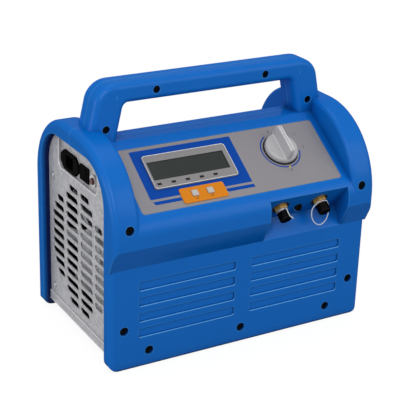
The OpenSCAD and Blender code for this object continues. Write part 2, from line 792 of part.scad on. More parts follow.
// Raised frame with sloping sides, a window and five lamp holes
module display_bezel() color(pale_grey) on_label(display_x, bezel_up) difference() {
  union() {
    linear_extrude(bezel_h - 1) rounded(bezel_l, bezel_w, 3);
    linear_extrude(bezel_h) rounded(bezel_l - 3, bezel_w - 3, 2);
  }
  translate([lcd_x - display_x, lcd_up - bezel_up, 1]) linear_extrude(bezel_h)
    square([lcd_l, lcd_w], center = true);
  translate([0, 0, -past]) linear_extrude(bezel_h) display_hole();
  for (i = [-2:2]) translate([lamp_x - display_x + i * lamp_pitch, lamp_up - bezel_up, bezel_h - 1.5])
    linear_extrude(2) square(lamp_size + 2 * clear / 3 * [1, 1], center = true);
}

module lcd_window() color("#3c413e") on_label(lcd_x, lcd_up, 1)
  linear_extrude(bezel_h - 1.6) square([lcd_l - clear, lcd_w - clear], center = true);

module status_lamps() color(black) for (i = [-2:2])
  on_label(lamp_x + i * lamp_pitch, lamp_up, bezel_h - 1.5)
    linear_extrude(1.8) square(lamp_size, center = true);

pad_x = display_x + 1.4;
key_x = pad_x - 1.4;                      // middle of the two buttons
key_up = pad_up + 1.3;
keys = [key_x - key_pitch / 2, key_x + key_pitch / 2];
key_travel = 0.8;

module keypad() color("#e18a10") on_label(pad_x, pad_up) difference() {
  linear_extrude(pad_t) rounded(pad_l, pad_w, 3);
  for (x = keys) translate([x - pad_x, key_up - pad_up, 0.2]) linear_extrude(pad_t)
    rounded(key_w + 2 * key_gap, key_w + 2 * key_gap, 1.2 + key_gap);
}

// A square button that sinks into its well in the pad
module key(x) on_label(x, key_up) {
  translate([0, 0, 0.2 + key_travel]) linear_extrude(pad_t + key_h - key_travel - 0.7)
    rounded(key_w, key_w, 1.2);
  translate([0, 0, pad_t + key_h - 0.8]) linear_extrude(0.6) rounded(key_w - 1, key_w - 1, 0.8);
}

module start_button() color("#f0efe9") key(keys[0]);

module stop_button() color("#f0efe9") key(keys[1]);

knob_lift = 1;
pointer = 3;                              // reach of the grip past the disc

// Disc with a chamfered rim and a bar grip whose ends slope down to the disc
module selector_knob() color("#bebcbe") on_label(knob_x, knob_up, knob_lift) difference() {
  union() {
    rotate_extrude() polygon([
      [0, 0], [knob_d / 2, 0], [knob_d / 2, knob_h - 2], [knob_d / 2 - 2, knob_h], [0, knob_h]]);
    intersection() {
      rotate([90, 0, 90]) translate([0, 0, -grip_w / 2]) linear_extrude(grip_w) polygon([
        [-knob_d / 2 + 1, 1], [knob_d / 2 + pointer, 1], [knob_d / 2 + pointer, knob_h],
        [knob_d / 2 + pointer - 3, knob_h + grip_h], [-knob_d / 2 + 8, knob_h + grip_h],
        [-knob_d / 2 + 1, knob_h]]);
      cylinder(d = knob_d + 2 * pointer, h = knob_h + grip_h + past);
    }
  }
  translate([0, 0, -past]) cylinder(d = stem_d, h = knob_h);
}

valve_top = label_t + wall;               // the valve's flange seats on the inside of the slope

module selector_stem() color(metal) on_label(knob_x, knob_up, -valve_top - valve_l / 2)
  cylinder(d = stem_d, h = valve_top + valve_l / 2 + knob_lift + knob_h - past);

stub_drop = valve_l - 12;                 // side stubs below the valve's seat
stub_reach = valve_d / 2 + 8;

// Panel mounted rotary valve: flange, body and four side stubs
module selector_valve() color(brass) on_label(knob_x, knob_up, -wall) difference() {
  union() {
    translate([0, 0, -4]) cylinder(d = valve_d + 10, h = 4);
    translate([0, 0, -valve_l]) cylinder(d = valve_d, h = valve_l);
    for (a = [0, 180, 270]) rotate([0, 0, a]) translate([0, 0, -stub_drop]) rotate([0, 90, 0])
      cylinder(d = pipe_d + 4, h = stub_reach);
  }
  translate([0, 0, -valve_l / 2 - label_t - past])
    cylinder(d = stem_d + 2 * run_clear, h = valve_l + 2 * past);
}

block_t = 26;

// Block behind the recess wall that carries both ports
module manifold_block() color("#9c9ea2") difference() {
  at_port(port_x) translate([-port_pitch / 2 - 18, -16, -wall - block_t])
    cube([port_pitch + 36, 28, block_t]);
  for (x = port_places) at_port(x) translate([0, 0, -wall - root_l])
    cylinder(d = thread_d, h = root_l + block_t);
  rod_y(port_x, tie_z, shank_d + 2 * clear, tie_y - past, tie_y + 3 * wall);
}

neck_s = 4.5;                             // hexagon's outer face above the recess wall
cap_s = neck_s + 3.5;                     // rear face of the cap
bore_r = 2.4;
hex_d = 2 * hex_af / sqrt(3);             // across the corners
root_l = port_root + 8;                   // length of the root in the block

// Flare fitting: root, hexagon, neck, thread and bore
module port(x) at_port(x) difference() {
  union() {
    translate([0, 0, -wall - root_l]) cylinder(d = thread_d - 2 * run_clear, h = root_l + past);
    translate([0, 0, -wall]) cylinder(d = hex_d, h = wall + neck_s, $fn = 6);
    translate([0, 0, -wall]) cylinder(d = thread_d - 2, h = wall + cap_s + 9);
    translate([0, 0, cap_s + 1]) cylinder(d = thread_d, h = 8);
  }
  translate([0, 0, -wall - root_l - past]) cylinder(r = bore_r, h = 60);
}

module inlet_port() color(brass) port(port_places[0]);

module outlet_port() color(brass) port(port_places[1]);

module port_gaskets() color(black) for (x = port_places) at_port(x) difference() {
  translate([0, 0, -wall]) cylinder(d = collar_d - 2 * clear, h = wall - 1.5);
  translate([0, 0, -wall - past]) cylinder(d = hex_d + 2 * clear, h = wall + 2 * past);
}

// Hollow cap with a rounded end and grip flutes
module cap(x) at_port(x) difference() {
  rotate_extrude() difference() {
    union() {
      translate([0, cap_s]) square([cap_d / 2, cap_l - 1.5]);
      translate([0, cap_s]) square([cap_d / 2 - 1.5, cap_l]);
      translate([cap_d / 2 - 1.5, cap_s + cap_l - 1.5]) circle(1.5);
    }
    translate([0, cap_s - past]) square([thread_d / 2 + clear, past + 10]);
  }
  for (a = [0:30:330]) rotate([0, 0, a]) translate([cap_d / 2 + 0.7, 0, cap_s + 2])
    cylinder(d = 2.2, h = cap_l - 5);
}

module inlet_cap() color(black) cap(port_places[0]);

module outlet_cap() color(black) cap(port_places[1]);

strap_s = neck_s + 1.1;                   // where the loop hangs on the neck

// Loop that hangs upright on the neck behind a cap
module strap(x) {
  top = thread_d / 2 - 1 + strap_t / 2 + clear;
  y = -valley_front - (port_up + top) * sin(port_tilt) - strap_s * cos(port_tilt);
  z = valley_z + (port_up + top) * cos(port_tilt) - strap_s * sin(port_tilt);
  translate([x, y, z - strap_r]) rotate([90, 0, 0]) rotate_extrude()
    translate([strap_r, 0]) circle(d = strap_t);
}

module inlet_cap_strap() color("#dfe3ea") strap(port_places[0]);

module outlet_cap_strap() color("#dfe3ea") strap(port_places[1]);

// Places on the floor of the pocket, with +X outwards from the left end
module in_pocket(y) translate([-pocket_floor, y, electric_z]) mirror([1, 0, 0]) children();

mains_flange = 3;
cup_wall = 2;

// Mains inlet: chamfered flange with two screw heads, and a cup with a socket
module power_inlet() color(black) in_pocket(mains_y) difference() {
  union() {
    rotate([90, 0, 90]) linear_extrude(mains_flange) chamfered(mains_l, mains_h, 10, 8);
    translate([-mains_cup_deep, 0, 0]) cube_yz(mains_cup_deep + past, mains_cup_l, mains_cup_h);
  }
  translate([-mains_cup_deep + cup_wall, 0, 0])
    cube_yz(mains_cup_deep + mains_flange, mains_cup_l - 2 * cup_wall, mains_cup_h - 2 * cup_wall);
  pin_blades();
}

pin_tail = 6;                             // pins behind the cup
pin_l = pin_tail + cup_wall + 8;

module pin_blades() for (p = [[-7, -2], [0, 2], [7, -2]])
  translate([-mains_cup_deep - pin_tail, p[0], p[1]]) cube_yz(pin_l, 2, 4);

module inlet_pins() color("#c9c4b4") in_pocket(mains_y) pin_blades();

bezel_out = 2.5;

module switch_housing() color(black) in_pocket(switch_y) difference() {
  union() {
    cube_yz(bezel_out, switch_l, switch_h);
    translate([-18, 0, 0]) cube_yz(18 + past, switch_l - 4, switch_h - 4);
  }
  translate([-8, 0, 0]) cube_yz(20, switch_l - 8, switch_h - 6);
}

rocker_r = (switch_l - 8) / 2 - 0.8;

// Rocker with two sloping faces, leaning to its off side at rest
module power_rocker() color("#26262a") in_pocket(switch_y) rotate([0, 0, rocker_lean])
  linear_extrude(switch_h - 6 - 2 * clear, center = true) union() {
    intersection() {
      circle(rocker_r);
      translate([-6, -20]) square([6.5, 40]);
    }
    polygon([[0, -rocker_r], [3.2, -rocker_r + 0.6], [1.8, 0], [3.2, rocker_r - 0.6], [0, rocker_r]]);
  }

module breaker_body() color("#c4c4c8") in_pocket(breaker_y) difference() {
  union() {
    rotate([0, 90, 0]) cylinder(d = breaker_d, h = 3);
    translate([-20, 0, 0]) rotate([0, 90, 0]) cylinder(d = breaker_d - 5, h = 20 + past);
  }
  translate([-10, 0, 0]) rotate([0, 90, 0]) cylinder(d = breaker_d - 8 + 2 * clear, h = 20);
}

module breaker_button() color("#b5201c") in_pocket(breaker_y) translate([-6, 0, 0])
  rotate([0, 90, 0]) {
    cylinder(d = breaker_d - 8, h = 10.5);
    translate([0, 0, 10]) cylinder(d = breaker_d - 9.5, h = 1.2);
  }

// Fan ring on a plate that stands on the pan, with arms for the motor
arm_w = 9;
arm_t = 3;
ring_r = fan_d / 2 + 3;
fan_back = ring_x - ring_d;

module fan_shroud() color(black) mirror([1, 0, 0]) {
  along_x(ring_x - sheet, ring_x) difference() {
    translate([fan_y - ring_r - 4, floor_z]) square([2 * ring_r + 8, fan_z + ring_r + 3 - floor_z]);
    translate([fan_y, fan_z]) circle(ring_r);
  }
  difference() {
    rod_x(fan_y, fan_z, 2 * (ring_r + ring_wall), fan_back, ring_x);
    rod_x(fan_y, fan_z, 2 * ring_r, fan_back - past, ring_x + past);
  }
  along_x(fan_back, fan_back + arm_t) translate([fan_y, fan_z]) difference() {
    union() {
      for (a = [45, 135]) rotate(a) square([2 * ring_r + ring_wall, arm_w], center = true);
      circle(d = fan_motor_d);
    }
    circle(d = hub_d / 4);
  }
}

module fan_motor() color(metal) mirror([1, 0, 0]) difference() {
  rod_x(fan_y, fan_z, fan_motor_d, fan_back - fan_motor_l, fan_back);
  rod_x(fan_y, fan_z, 6 + 2 * run_clear, fan_back - fan_motor_l + 4, fan_back + past);
}

hub_x0 = fan_back + 13;
hub_l = 18;

module fan_shaft() color("#d0d0d2") mirror([1, 0, 0])
  rod_x(fan_y, fan_z, 6, fan_back - fan_motor_l + 5, hub_x0 + hub_l - 4);

blade_pitch = 35;
camber_r = 48;
blade_chord = 44;
blade_t = 1.8;

// Hub with cambered blades set at a pitch
module fan_rotor() color("#8c9096") mirror([1, 0, 0]) translate([hub_x0, fan_y, fan_z]) difference() {
  union() {
    rotate([0, 90, 0]) cylinder(d = hub_d, h = hub_l);
    intersection() {
      for (i = [0:blades - 1]) rotate([i * 360 / blades, 0, 0])
        translate([hub_l / 2, 0, hub_d / 2 - 4]) rotate([0, 0, blade_pitch])
          linear_extrude(fan_d / 2 - hub_d / 2 + 8) intersection() {
            translate([-camber_r + blade_t, 0]) difference() {
              circle(camber_r);
              circle(camber_r - blade_t);
            }
            square([2 * hub_l, blade_chord], center = true);
          }
      rotate([0, 90, 0]) translate([0, 0, -8]) cylinder(d = fan_d, h = hub_l + 16);
    }
  }
  translate([-past, 0, 0]) rotate([0, 90, 0]) cylinder(d = 6, h = hub_l - 4 + past);
}

coil_y0 = -flange_front + sheet + 14;
coil_y1 = flange_rear - sheet - 14;
coil_top = fan_z + fan_d / 2 - 4;
coil_pitch = (coil_top - floor_z - 10) / coil_rows;
fin_step = 4;

// Fin pack with grooves between the fins, standing on the pan
module condenser_core() color("#b8bcc0") mirror([1, 0, 0]) difference() {
  translate([coil_x - coil_t, coil_y0, floor_z]) cube([coil_t, coil_y1 - coil_y0, coil_top - floor_z]);
  for (y = [coil_y0 + fin_step:fin_step:coil_y1 - fin_step])
    translate([coil_x - 2, y - fin_step / 4, floor_z + 3])
      cube([2 + past, fin_step / 2, coil_top - floor_z - 6]);
}

// Return bends at the front face of the coil, and two tails at the back
module condenser_bends() color("#b8734a") mirror([1, 0, 0]) {
  for (i = [0:coil_rows - 1])
    translate([coil_x - coil_t / 2, coil_y0, floor_z + 5 + (i + 0.5) * coil_pitch]) rotate([180, 0, 0])
      rotate_extrude(angle = 180) translate([coil_t / 4, 0]) circle(d = coil_tube);
}

pump_base_l = motor_l + case_l + 16;
pump_base_x = pump_x - pump_base_l / 2;
base_low = floor_z + mount_h;
case_x0 = pump_base_x + 8 + motor_l;

module compressor_base() color(metal) translate([pump_base_x, pump_y - case_w / 2 - 8, base_low])
  cube([pump_base_l, case_w + 16, base_plate]);

module rubber_mounts() color(black)
  for (x = [pump_base_x + 12, pump_base_x + pump_base_l - 12], y = [-1, 1])
    translate([x, pump_y + y * (case_w / 2 - 4), floor_z]) rotate_extrude() polygon([
      [0, 0], [11, 0], [11, 4], [8, mount_h / 2], [11, mount_h - 4], [11, mount_h], [0, mount_h]]);

// Finned motor on a foot
module compressor_motor() color("#7c8086") difference() {
  union() {
    rod_x(pump_y, motor_z, motor_d - 8, pump_base_x + 8, case_x0);
    rod_x(pump_y, motor_z, motor_d, pump_base_x + 14, pump_base_x + 20);
    rod_x(pump_y, motor_z, motor_d, case_x0 - 8, case_x0);
    for (a = [-120:20:120]) translate([pump_base_x + 14, pump_y, motor_z]) rotate([a, 0, 0])
      translate([0, -1.5, 0]) cube([motor_l - 8, 3, motor_d / 2 - 0.5]);
    translate([pump_base_x + 16, pump_y - case_w / 4, base_low + base_plate])
      cube([motor_l - 14, case_w / 2, motor_d / 2]);
  }
  rod_x(pump_y, motor_z, motor_d / 4, pump_base_x, pump_base_x + 12);
}

case_z0 = base_low + base_plate;

module crankcase() color("#8d9197") difference() {
  translate([case_x0, pump_y - case_w / 2, case_z0]) cube([case_l, case_w, case_h]);
  for (y = [-1, 1], z = [10, case_h - 10])
    rod_x(pump_y + y * (case_w / 2 - 10), case_z0 + z, 7, case_x0 + case_l - 3, case_x0 + case_l + past);
}

barrel_y = case_w / 2 - barrel_d / 2 + 4;
head_t = 14;

// Two finned barrels side by side, each with a head
module cylinder_heads() color("#9a9ea4") for (y = [-1, 1])
  translate([case_x0 + case_l / 2, pump_y + y * (barrel_y - 2), case_z0 + case_h]) {
    cylinder(d = barrel_d - 10, h = barrel_h);
    for (z = [4:6:barrel_h - 4]) translate([0, 0, z]) cylinder(d = barrel_d - 6, h = 2.5);
    translate([-barrel_d / 2 + 2, -barrel_d / 2 + 3, barrel_h]) cube([barrel_d - 4, barrel_d - 6, head_t]);
  }

board_l = bezel_l + 6;
board_w = 62;

module control_board() color("#2f7a45") on_label(display_x, bezel_up, -board_drop)
  translate([-board_l / 2, -board_w / 2, 0]) cube([board_l, board_w, 1.6]);

module board_standoffs() color(pale_grey) for (x = [-1, 1], y = [-1, 1])
  on_label(display_x + x * (board_l / 2 - 5), bezel_up + y * (board_w / 2 - 5), -board_drop + 1.6)
    cylinder(d = 7, h = board_drop - 1.6 - wall);

can_d = 36;
can_h = 70;
can_top = 3;

module run_capacitor() color("#3a3c42")
  translate([pump_base_x + pump_base_l + 28, pump_y + 40, floor_z]) {
    cylinder(d = can_d, h = can_h);
    translate([0, 0, can_h]) cylinder(d = can_d - 2 * can_top, h = can_top);
  }

// A round pipe swept along points, by rings that halve each bend
function unit(v) = v / norm(v);
function ring_frame(p, i) = let (
    a = unit(p[min(i + 1, len(p) - 1)] - p[max(i - 1, 0)]),
    s = abs(a[2]) > 0.9 ? [1, 0, 0] : [0, 0, 1],
    u = unit(cross(a, s)))
  [u, cross(a, u)];
module pipe(points, d, sides = 12) {
  rings = [for (i = [0:len(points) - 1]) let (f = ring_frame(points, i))
    for (k = [0:sides - 1]) points[i] + d / 2 * (cos(k * 360 / sides) * f[0] + sin(k * 360 / sides) * f[1])];
  last = len(points) - 1;
  polyhedron(points = rings, faces = concat(
    [[for (k = [0:sides - 1]) k]],
    [for (i = [0:last - 1], k = [0:sides - 1]) let (n = (k + 1) % sides)
      [i * sides + k, (i + 1) * sides + k, (i + 1) * sides + n, i * sides + n]],
    [[for (k = [sides - 1:-1:0]) last * sides + k]]));
}

// Corners of a route rounded by quadratic curves
function round_route(p, r) = [
  p[0],
  for (i = [1:len(p) - 2]) let (a = p[i] + r * unit(p[i - 1] - p[i]), b = p[i] + r * unit(p[i + 1] - p[i]))
    for (s = [0:0.25:1]) (1 - s) * (1 - s) * a + 2 * s * (1 - s) * p[i] + s * s * b,
  p[len(p) - 1]];

bend_r = 14;
pipe_out = 18;                            // suction pipe beside the valve's stub
pipe_rise = 26;                           // its run above the heads
head_x = case_x0 + case_l / 2;
head_z = case_z0 + case_h + barrel_h + head_t;
head_y = [pump_y - barrel_y + 2, pump_y + barrel_y - 2];
coil_mid_x = -(coil_x - coil_t / 2);
pipe_z = coil_top + 24;                   // height of the long runs over the coil
stub_y = -label_front + knob_up * cos(label_tilt) + (wall + stub_drop) * sin(label_tilt);
stub_z = label_low + knob_up * sin(label_tilt) - (wall + stub_drop) * cos(label_tilt);
stub_down = [0, -cos(label_tilt), -sin(label_tilt)];
block_in = [0, cos(port_tilt), sin(port_tilt)];
block_back = [knob_x, -valley_front - port_up * sin(port_tilt), valley_z + port_up * cos(port_tilt)]
  + (wall + block_t) * block_in;

// Back face of the manifold block, straight below the valve's lower stub
stub_end = [knob_x, stub_y, stub_z] + stub_reach * stub_down;
stub_gap = (stub_end - block_back) * block_in;
block_meet = stub_end + stub_gap * stub_down / (-(stub_down * block_in));

module copper_pipes() color("#b8734a") {
  // Discharge from the back head to the condenser
  pipe(round_route([
    [head_x, head_y[1], head_z], [head_x, head_y[1], pipe_z],
    [coil_mid_x, head_y[1], pipe_z], [coil_mid_x, head_y[1], coil_top]], bend_r), pipe_d);
  // Suction from the valve to the front head
  pipe(round_route([
    [knob_x + stub_reach, stub_y, stub_z], [knob_x + stub_reach + pipe_out, stub_y, stub_z],
    [knob_x + stub_reach + pipe_out, stub_y, head_z + pipe_rise], [head_x, head_y[0], head_z + pipe_rise],
    [head_x, head_y[0], head_z]], bend_r), pipe_d);
  // Liquid from the condenser back to the valve
  pipe(round_route([
    [knob_x - stub_reach, stub_y, stub_z], [coil_mid_x, stub_y, stub_z],
    [coil_mid_x, stub_y, coil_top]], bend_r), pipe_d);
  // Short link from the valve to the manifold block
  pipe([stub_end, stub_end + stub_gap / 2 * stub_down, block_meet + block_in, block_meet], pipe_d);
}

front_shell();
rear_shell();
front_screws();
rear_screws();
handle_screws();
manifold_screw();
left_end_panel();
right_end_panel();
panel_screws();
base_pan();
rubber_feet();
control_label();
display_bezel();
lcd_window();
status_lamps();
keypad();
start_button();
stop_button();
selector_knob();
selector_stem();
selector_valve();
manifold_block();
inlet_port();
outlet_port();
port_gaskets();
inlet_cap();
outlet_cap();
inlet_cap_strap();
outlet_cap_strap();
power_inlet();
inlet_pins();
switch_housing();
power_rocker();
breaker_body();
breaker_button();
fan_shroud();
fan_motor();
fan_shaft();
fan_rotor();
condenser_core();
condenser_bends();
compressor_base();
rubber_mounts();
compressor_motor();
crankcase();
cylinder_heads();
control_board();
board_standoffs();
run_capacitor();
copper_pipes();
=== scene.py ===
import json
import math

import bmesh
import bpy
from mathutils import Matrix, Vector

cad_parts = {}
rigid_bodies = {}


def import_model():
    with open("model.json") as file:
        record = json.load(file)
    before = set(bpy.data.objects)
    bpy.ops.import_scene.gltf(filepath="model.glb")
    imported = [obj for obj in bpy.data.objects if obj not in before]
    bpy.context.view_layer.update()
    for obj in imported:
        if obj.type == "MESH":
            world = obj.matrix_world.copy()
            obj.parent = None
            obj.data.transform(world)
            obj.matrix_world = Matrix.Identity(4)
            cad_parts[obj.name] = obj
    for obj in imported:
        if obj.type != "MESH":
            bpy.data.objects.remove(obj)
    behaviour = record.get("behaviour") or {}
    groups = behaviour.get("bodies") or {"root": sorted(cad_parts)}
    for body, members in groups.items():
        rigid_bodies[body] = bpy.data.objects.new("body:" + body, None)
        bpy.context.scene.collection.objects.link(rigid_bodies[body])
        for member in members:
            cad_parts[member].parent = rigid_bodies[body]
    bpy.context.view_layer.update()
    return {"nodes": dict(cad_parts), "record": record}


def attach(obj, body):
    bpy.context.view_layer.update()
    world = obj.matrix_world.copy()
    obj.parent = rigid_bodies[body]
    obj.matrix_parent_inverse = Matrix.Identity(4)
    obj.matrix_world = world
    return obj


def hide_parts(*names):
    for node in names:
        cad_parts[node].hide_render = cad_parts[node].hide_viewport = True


for old in list(bpy.data.objects):  # the factory scene's own cube, lamp and camera
    bpy.data.objects.remove(old)
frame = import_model()
nodes = frame["nodes"]
mm = 0.001
print("frame loaded:", len(nodes), "nodes")


class Wire:
    def __init__(self, tree, socket=None):
        self.tree = tree
        self.socket = socket

    def node(self, kind, settings=None, sockets=None, out=0):
        made = self.tree.nodes.new(kind)
        for name, value in (settings or {}).items():
            setattr(made, name, value)
        for name, value in (sockets or {}).items():
            if isinstance(value, Wire):
                self.tree.links.new(value.socket, made.inputs[name])
            else:
                made.inputs[name].default_value = value
        return Wire(self.tree, made.outputs[out] if len(made.outputs) else None)

    def other(self, name):  # another output of the same node
        return Wire(self.tree, self.socket.node.outputs[name])

    def maths(self, operation, a, b=0.0, clamp=False):
        return self.node("ShaderNodeMath", {"operation": operation, "use_clamp": clamp}, {0: a, 1: b})

    def __add__(self, b):
        return self.maths("ADD", self, b)

    def __radd__(self, b):
        return self.maths("ADD", b, self)

    def __sub__(self, b):
        return self.maths("SUBTRACT", self, b)

    def __rsub__(self, b):
        return self.maths("SUBTRACT", b, self)

    def __mul__(self, b):
        return self.maths("MULTIPLY", self, b)

    def __rmul__(self, b):
        return self.maths("MULTIPLY", b, self)

    def __truediv__(self, b):
        return self.maths("DIVIDE", self, b)

    def __gt__(self, b):
        return self.maths("GREATER_THAN", self, b)

    def __lt__(self, b):  # also the reflected form of a number > a wire
        return self.maths("LESS_THAN", self, b)

    def within(self):  # held between 0 and 1
        return self.maths("ADD", self, 0.0, clamp=True)

    def mix(self, share, a, b):
        return self.node("ShaderNodeMix", {"data_type": "RGBA"}, {0: share, 6: a, 7: b}, out=2)


def shade(colour, factor):
    return tuple(min(1.0, c * factor) for c in colour[:3]) + (1.0,)


def noise(pen, place, scale, detail=2.0, rough=0.5):
    return pen.node("ShaderNodeTexNoise", None,
                    {"Vector": place, "Scale": scale, "Detail": detail, "Roughness": rough}, out="Fac")


def blankMaterial(name):
    made = bpy.data.materials.new(name)
    made.use_nodes = True
    made.node_tree.nodes.clear()
    return made, Wire(made.node_tree)


roughSpread = 0.12  # how far roughness strays within a finish


# One finish: a mottled colour, a fine grain in relief, softened edges with a painted highlight on them
def finish(name, look):
    made, pen = blankMaterial(name)
    made.diffuse_color = (*look["colour"], 1.0)
    spot = pen.node("ShaderNodeTexCoord", out="Object")
    cloud = noise(pen, spot, look["cloud"], 3.0)
    grain = noise(pen, spot, look["grain"], 2.0)
    mottle = look["mottle"]
    tint = pen.mix(cloud, shade(look["colour"], 1 - mottle), shade(look["colour"], 1 + mottle))
    if "spangle" in look:  # crystal patches of a zinc coat
        cells = pen.node("ShaderNodeTexVoronoi", None,
                         {"Vector": spot, "Scale": look["spangle"]}, out="Color")
        patch = pen.node("ShaderNodeSeparateColor", None, {"Color": cells})
        tint = pen.mix(patch * look["spangleShare"], tint, shade(look["colour"], look["spangleLift"]))
    height = grain
    if "pits" in look:
        height = grain + noise(pen, spot, look["pits"], 1.0) * look["pitShare"]
    soft = pen.node("ShaderNodeBevel", {"samples": 6}, {"Radius": look["edge"]})
    flat = pen.node("ShaderNodeNewGeometry", out="Normal")
    turn = pen.node("ShaderNodeVectorMath", {"operation": "DOT_PRODUCT"}, {0: soft, 1: flat}, out="Value")
    # painted highlight: colour lightened where the bevelled normal turns from the face, at convex and concave
    # edges alike
    edgeHighlight = ((1 - turn) * look.get("highlightGain", 2.0)).within()
    if "crest" in look:  # painted highlight only on edges that stand out, found from inside the wall
        crest = pen.node("ShaderNodeAmbientOcclusion", {"samples": 8, "inside": True, "only_local": True},
                         {"Distance": look["crest"]}, out="AO")
        edgeHighlight = ((1 - crest) * look.get("highlightGain", 2.0)).within()
    highlightColour = look.get("highlightColour", shade(look["colour"], 1.7))
    tint = pen.mix(edgeHighlight * look.get("highlightShare", 0.35), tint, highlightColour)
    if "hollow" in look:  # painted shade: deep corners of the moulding darkened where ambient occlusion finds them
        cave = pen.node("ShaderNodeAmbientOcclusion", {"samples": 8},
                        {"Distance": look["hollow"]}, out="AO")
        cornerShade = ((look["hollowFrom"] - cave) * look["hollowGain"]).within()
        tint = pen.mix(cornerShade, tint, look["hollowColour"])
    if "mouth" in look:  # painted shade: wall of the end openings, darker towards the panel
        apart = pen.node("ShaderNodeSeparateXYZ", None, {"Vector": spot})
        mouth = look["mouth"]
        across = pen.maths("ABSOLUTE", apart.other("Y") - mouth["middle"])
        side = pen.maths("MAXIMUM", across - mouth["flat"], 0.0)
        rise = pen.maths("MAXIMUM", apart.other("Z") - mouth["spring"], 0.0)
        inner = mouth["radius"] + mouth["spare"] > pen.maths("SQRT", side * side + rise * rise)
        reach = pen.maths("ABSOLUTE", apart)
        depth = ((mouth["face"] - reach) / mouth["fade"]).within() * (reach > mouth["panel"])
        tint = pen.mix(inner * depth, tint, look["hollowColour"])
    if "hem" in look:  # painted shade: lowest edge darkened where it meets the floor
        low = pen.node("ShaderNodeSeparateXYZ", None, {"Vector": spot}).other("Z")
        floorShade = ((look["hem"] - low) / look["hemFade"]).within() * look["hemShare"]
        tint = pen.mix(floorShade, tint, look["hollowColour"])
    if "inside" in look:  # painted shade: faces within the casing darkened to near black
        apart = pen.node("ShaderNodeSeparateXYZ", None, {"Vector": spot})
        within = (look["inside"] > pen.maths("ABSOLUTE", apart)) * (apart.other("Z") > look["floor"])
        tint = pen.mix(within, tint, shade(look["colour"], look["insideShade"]))
    relief = pen.node("ShaderNodeBump", None, {
        "Strength": look["relief"], "Distance": look.get("depth", 0.0002),
        "Height": height, "Normal": soft})
    rough = look["rough"] + (cloud - 0.5) * roughSpread
    sockets = {"Base Color": tint, "Roughness": rough, "Normal": relief, "Metallic": look.get("metal", 0.0)}
    for socket, key in (("Specular IOR Level", "specular"), ("Subsurface Weight", "subsurface")):
        if key in look:
            sockets[socket] = look[key]
    skin = pen.node("ShaderNodeBsdfPrincipled", None, sockets)
    if "gloss" in look:  # a thin even sheen in place of a reflection that grows at flat angles
        sheen = pen.node("ShaderNodeBsdfGlossy", None, {"Roughness": look["glossRough"], "Normal": relief})
        skin = pen.node("ShaderNodeMixShader", None, {0: look["gloss"], 1: skin, 2: sheen})
    pen.node("ShaderNodeOutputMaterial", None, {"Surface": skin})
    return made


# In the looks below the edge colour is a painted highlight; the hollow colour is a painted shade used in
# hollows, on the end-opening walls and along the lowest edge; insideShade is a painted shade within the
# casing.
shellLook = {"colour": (0.0030, 0.140, 0.550), "cloud": 11.0, "mottle": 0.05, "grain": 1100.0,
             "pits": 420.0, "pitShare": 0.8, "relief": 0.20, "depth": 0.0002, "rough": 0.52,
             "specular": 0.0, "gloss": 0.014, "glossRough": 0.26, "edge": 0.0009, "crest": 0.0016,
             "highlightGain": 2.2, "highlightShare": 0.55, "highlightColour": (0.055, 0.30, 0.68, 1.0),
             "hollow": 0.030, "hollowFrom": 0.74, "hollowGain": 1.55,
             "hollowColour": (0.0008, 0.008, 0.07, 1.0),
             "mouth": {"middle": 0.00675, "flat": 0.04525, "spring": 0.226, "radius": 0.055,
                       "spare": 0.0012, "face": 0.1985, "fade": 0.006, "panel": 0.1845},
             "hem": 0.0055, "hemFade": 0.0015, "hemShare": 0.75}
sheetLook = {"colour": (0.39, 0.39, 0.41), "cloud": 24.0, "mottle": 0.14, "grain": 700.0,
             "spangle": 230.0, "spangleShare": 0.8, "spangleLift": 1.45, "relief": 0.16, "depth": 0.0002,
             "rough": 0.46, "metal": 0.20, "specular": 0.3, "edge": 0.0006,
             "highlightGain": 2.5, "highlightShare": 0.75, "highlightColour": (0.84, 0.84, 0.86, 1.0),
             "inside": 0.1822, "floor": 0.0150, "insideShade": 0.03}
labelLook = {"colour": (0.262, 0.252, 0.266), "cloud": 9.0, "mottle": 0.04, "grain": 1500.0, "relief": 0.06,
             "depth": 0.0001, "rough": 0.46, "specular": 0.25, "edge": 0.0004}
bezelLook = {"colour": (0.245, 0.235, 0.235), "cloud": 18.0, "mottle": 0.03, "grain": 1300.0,
             "relief": 0.12, "rough": 0.40, "specular": 0.3, "edge": 0.0006, "highlightShare": 0.7,
             "highlightColour": (0.66, 0.64, 0.62, 1.0)}
orangeLook = {"colour": (0.68, 0.215, 0.003), "cloud": 30.0, "mottle": 0.03, "grain": 1500.0, "relief": 0.08,
              "rough": 0.45, "specular": 0.2, "edge": 0.0005, "highlightColour": (0.8, 0.33, 0.02, 1.0)}
keyLook = {"colour": (0.50, 0.485, 0.45), "cloud": 40.0, "mottle": 0.02, "grain": 1500.0, "relief": 0.06,
           "rough": 0.36, "specular": 0.35, "edge": 0.0005}
knobLook = {"colour": (0.47, 0.46, 0.47), "cloud": 26.0, "mottle": 0.03, "grain": 1400.0,
            "relief": 0.10, "rough": 0.36, "specular": 0.4, "edge": 0.0005, "highlightShare": 0.6,
            "highlightColour": (0.78, 0.77, 0.77, 1.0)}
blackLook = {"colour": (0.0022, 0.0022, 0.0025), "cloud": 20.0, "mottle": 0.15, "grain": 1200.0,
             "relief": 0.12, "rough": 0.34, "specular": 0.0, "gloss": 0.006, "glossRough": 0.22,
             "edge": 0.0004, "highlightShare": 0.3, "highlightColour": (0.03, 0.03, 0.033, 1.0)}
capLook = {"colour": (0.0012, 0.0012, 0.0014), "cloud": 30.0, "mottle": 0.1, "grain": 1500.0,
           "relief": 0.05, "rough": 0.2, "specular": 0.0, "gloss": 0.008, "glossRough": 0.10,
           "edge": 0.0005, "highlightShare": 0.3, "highlightColour": (0.025, 0.025, 0.028, 1.0)}
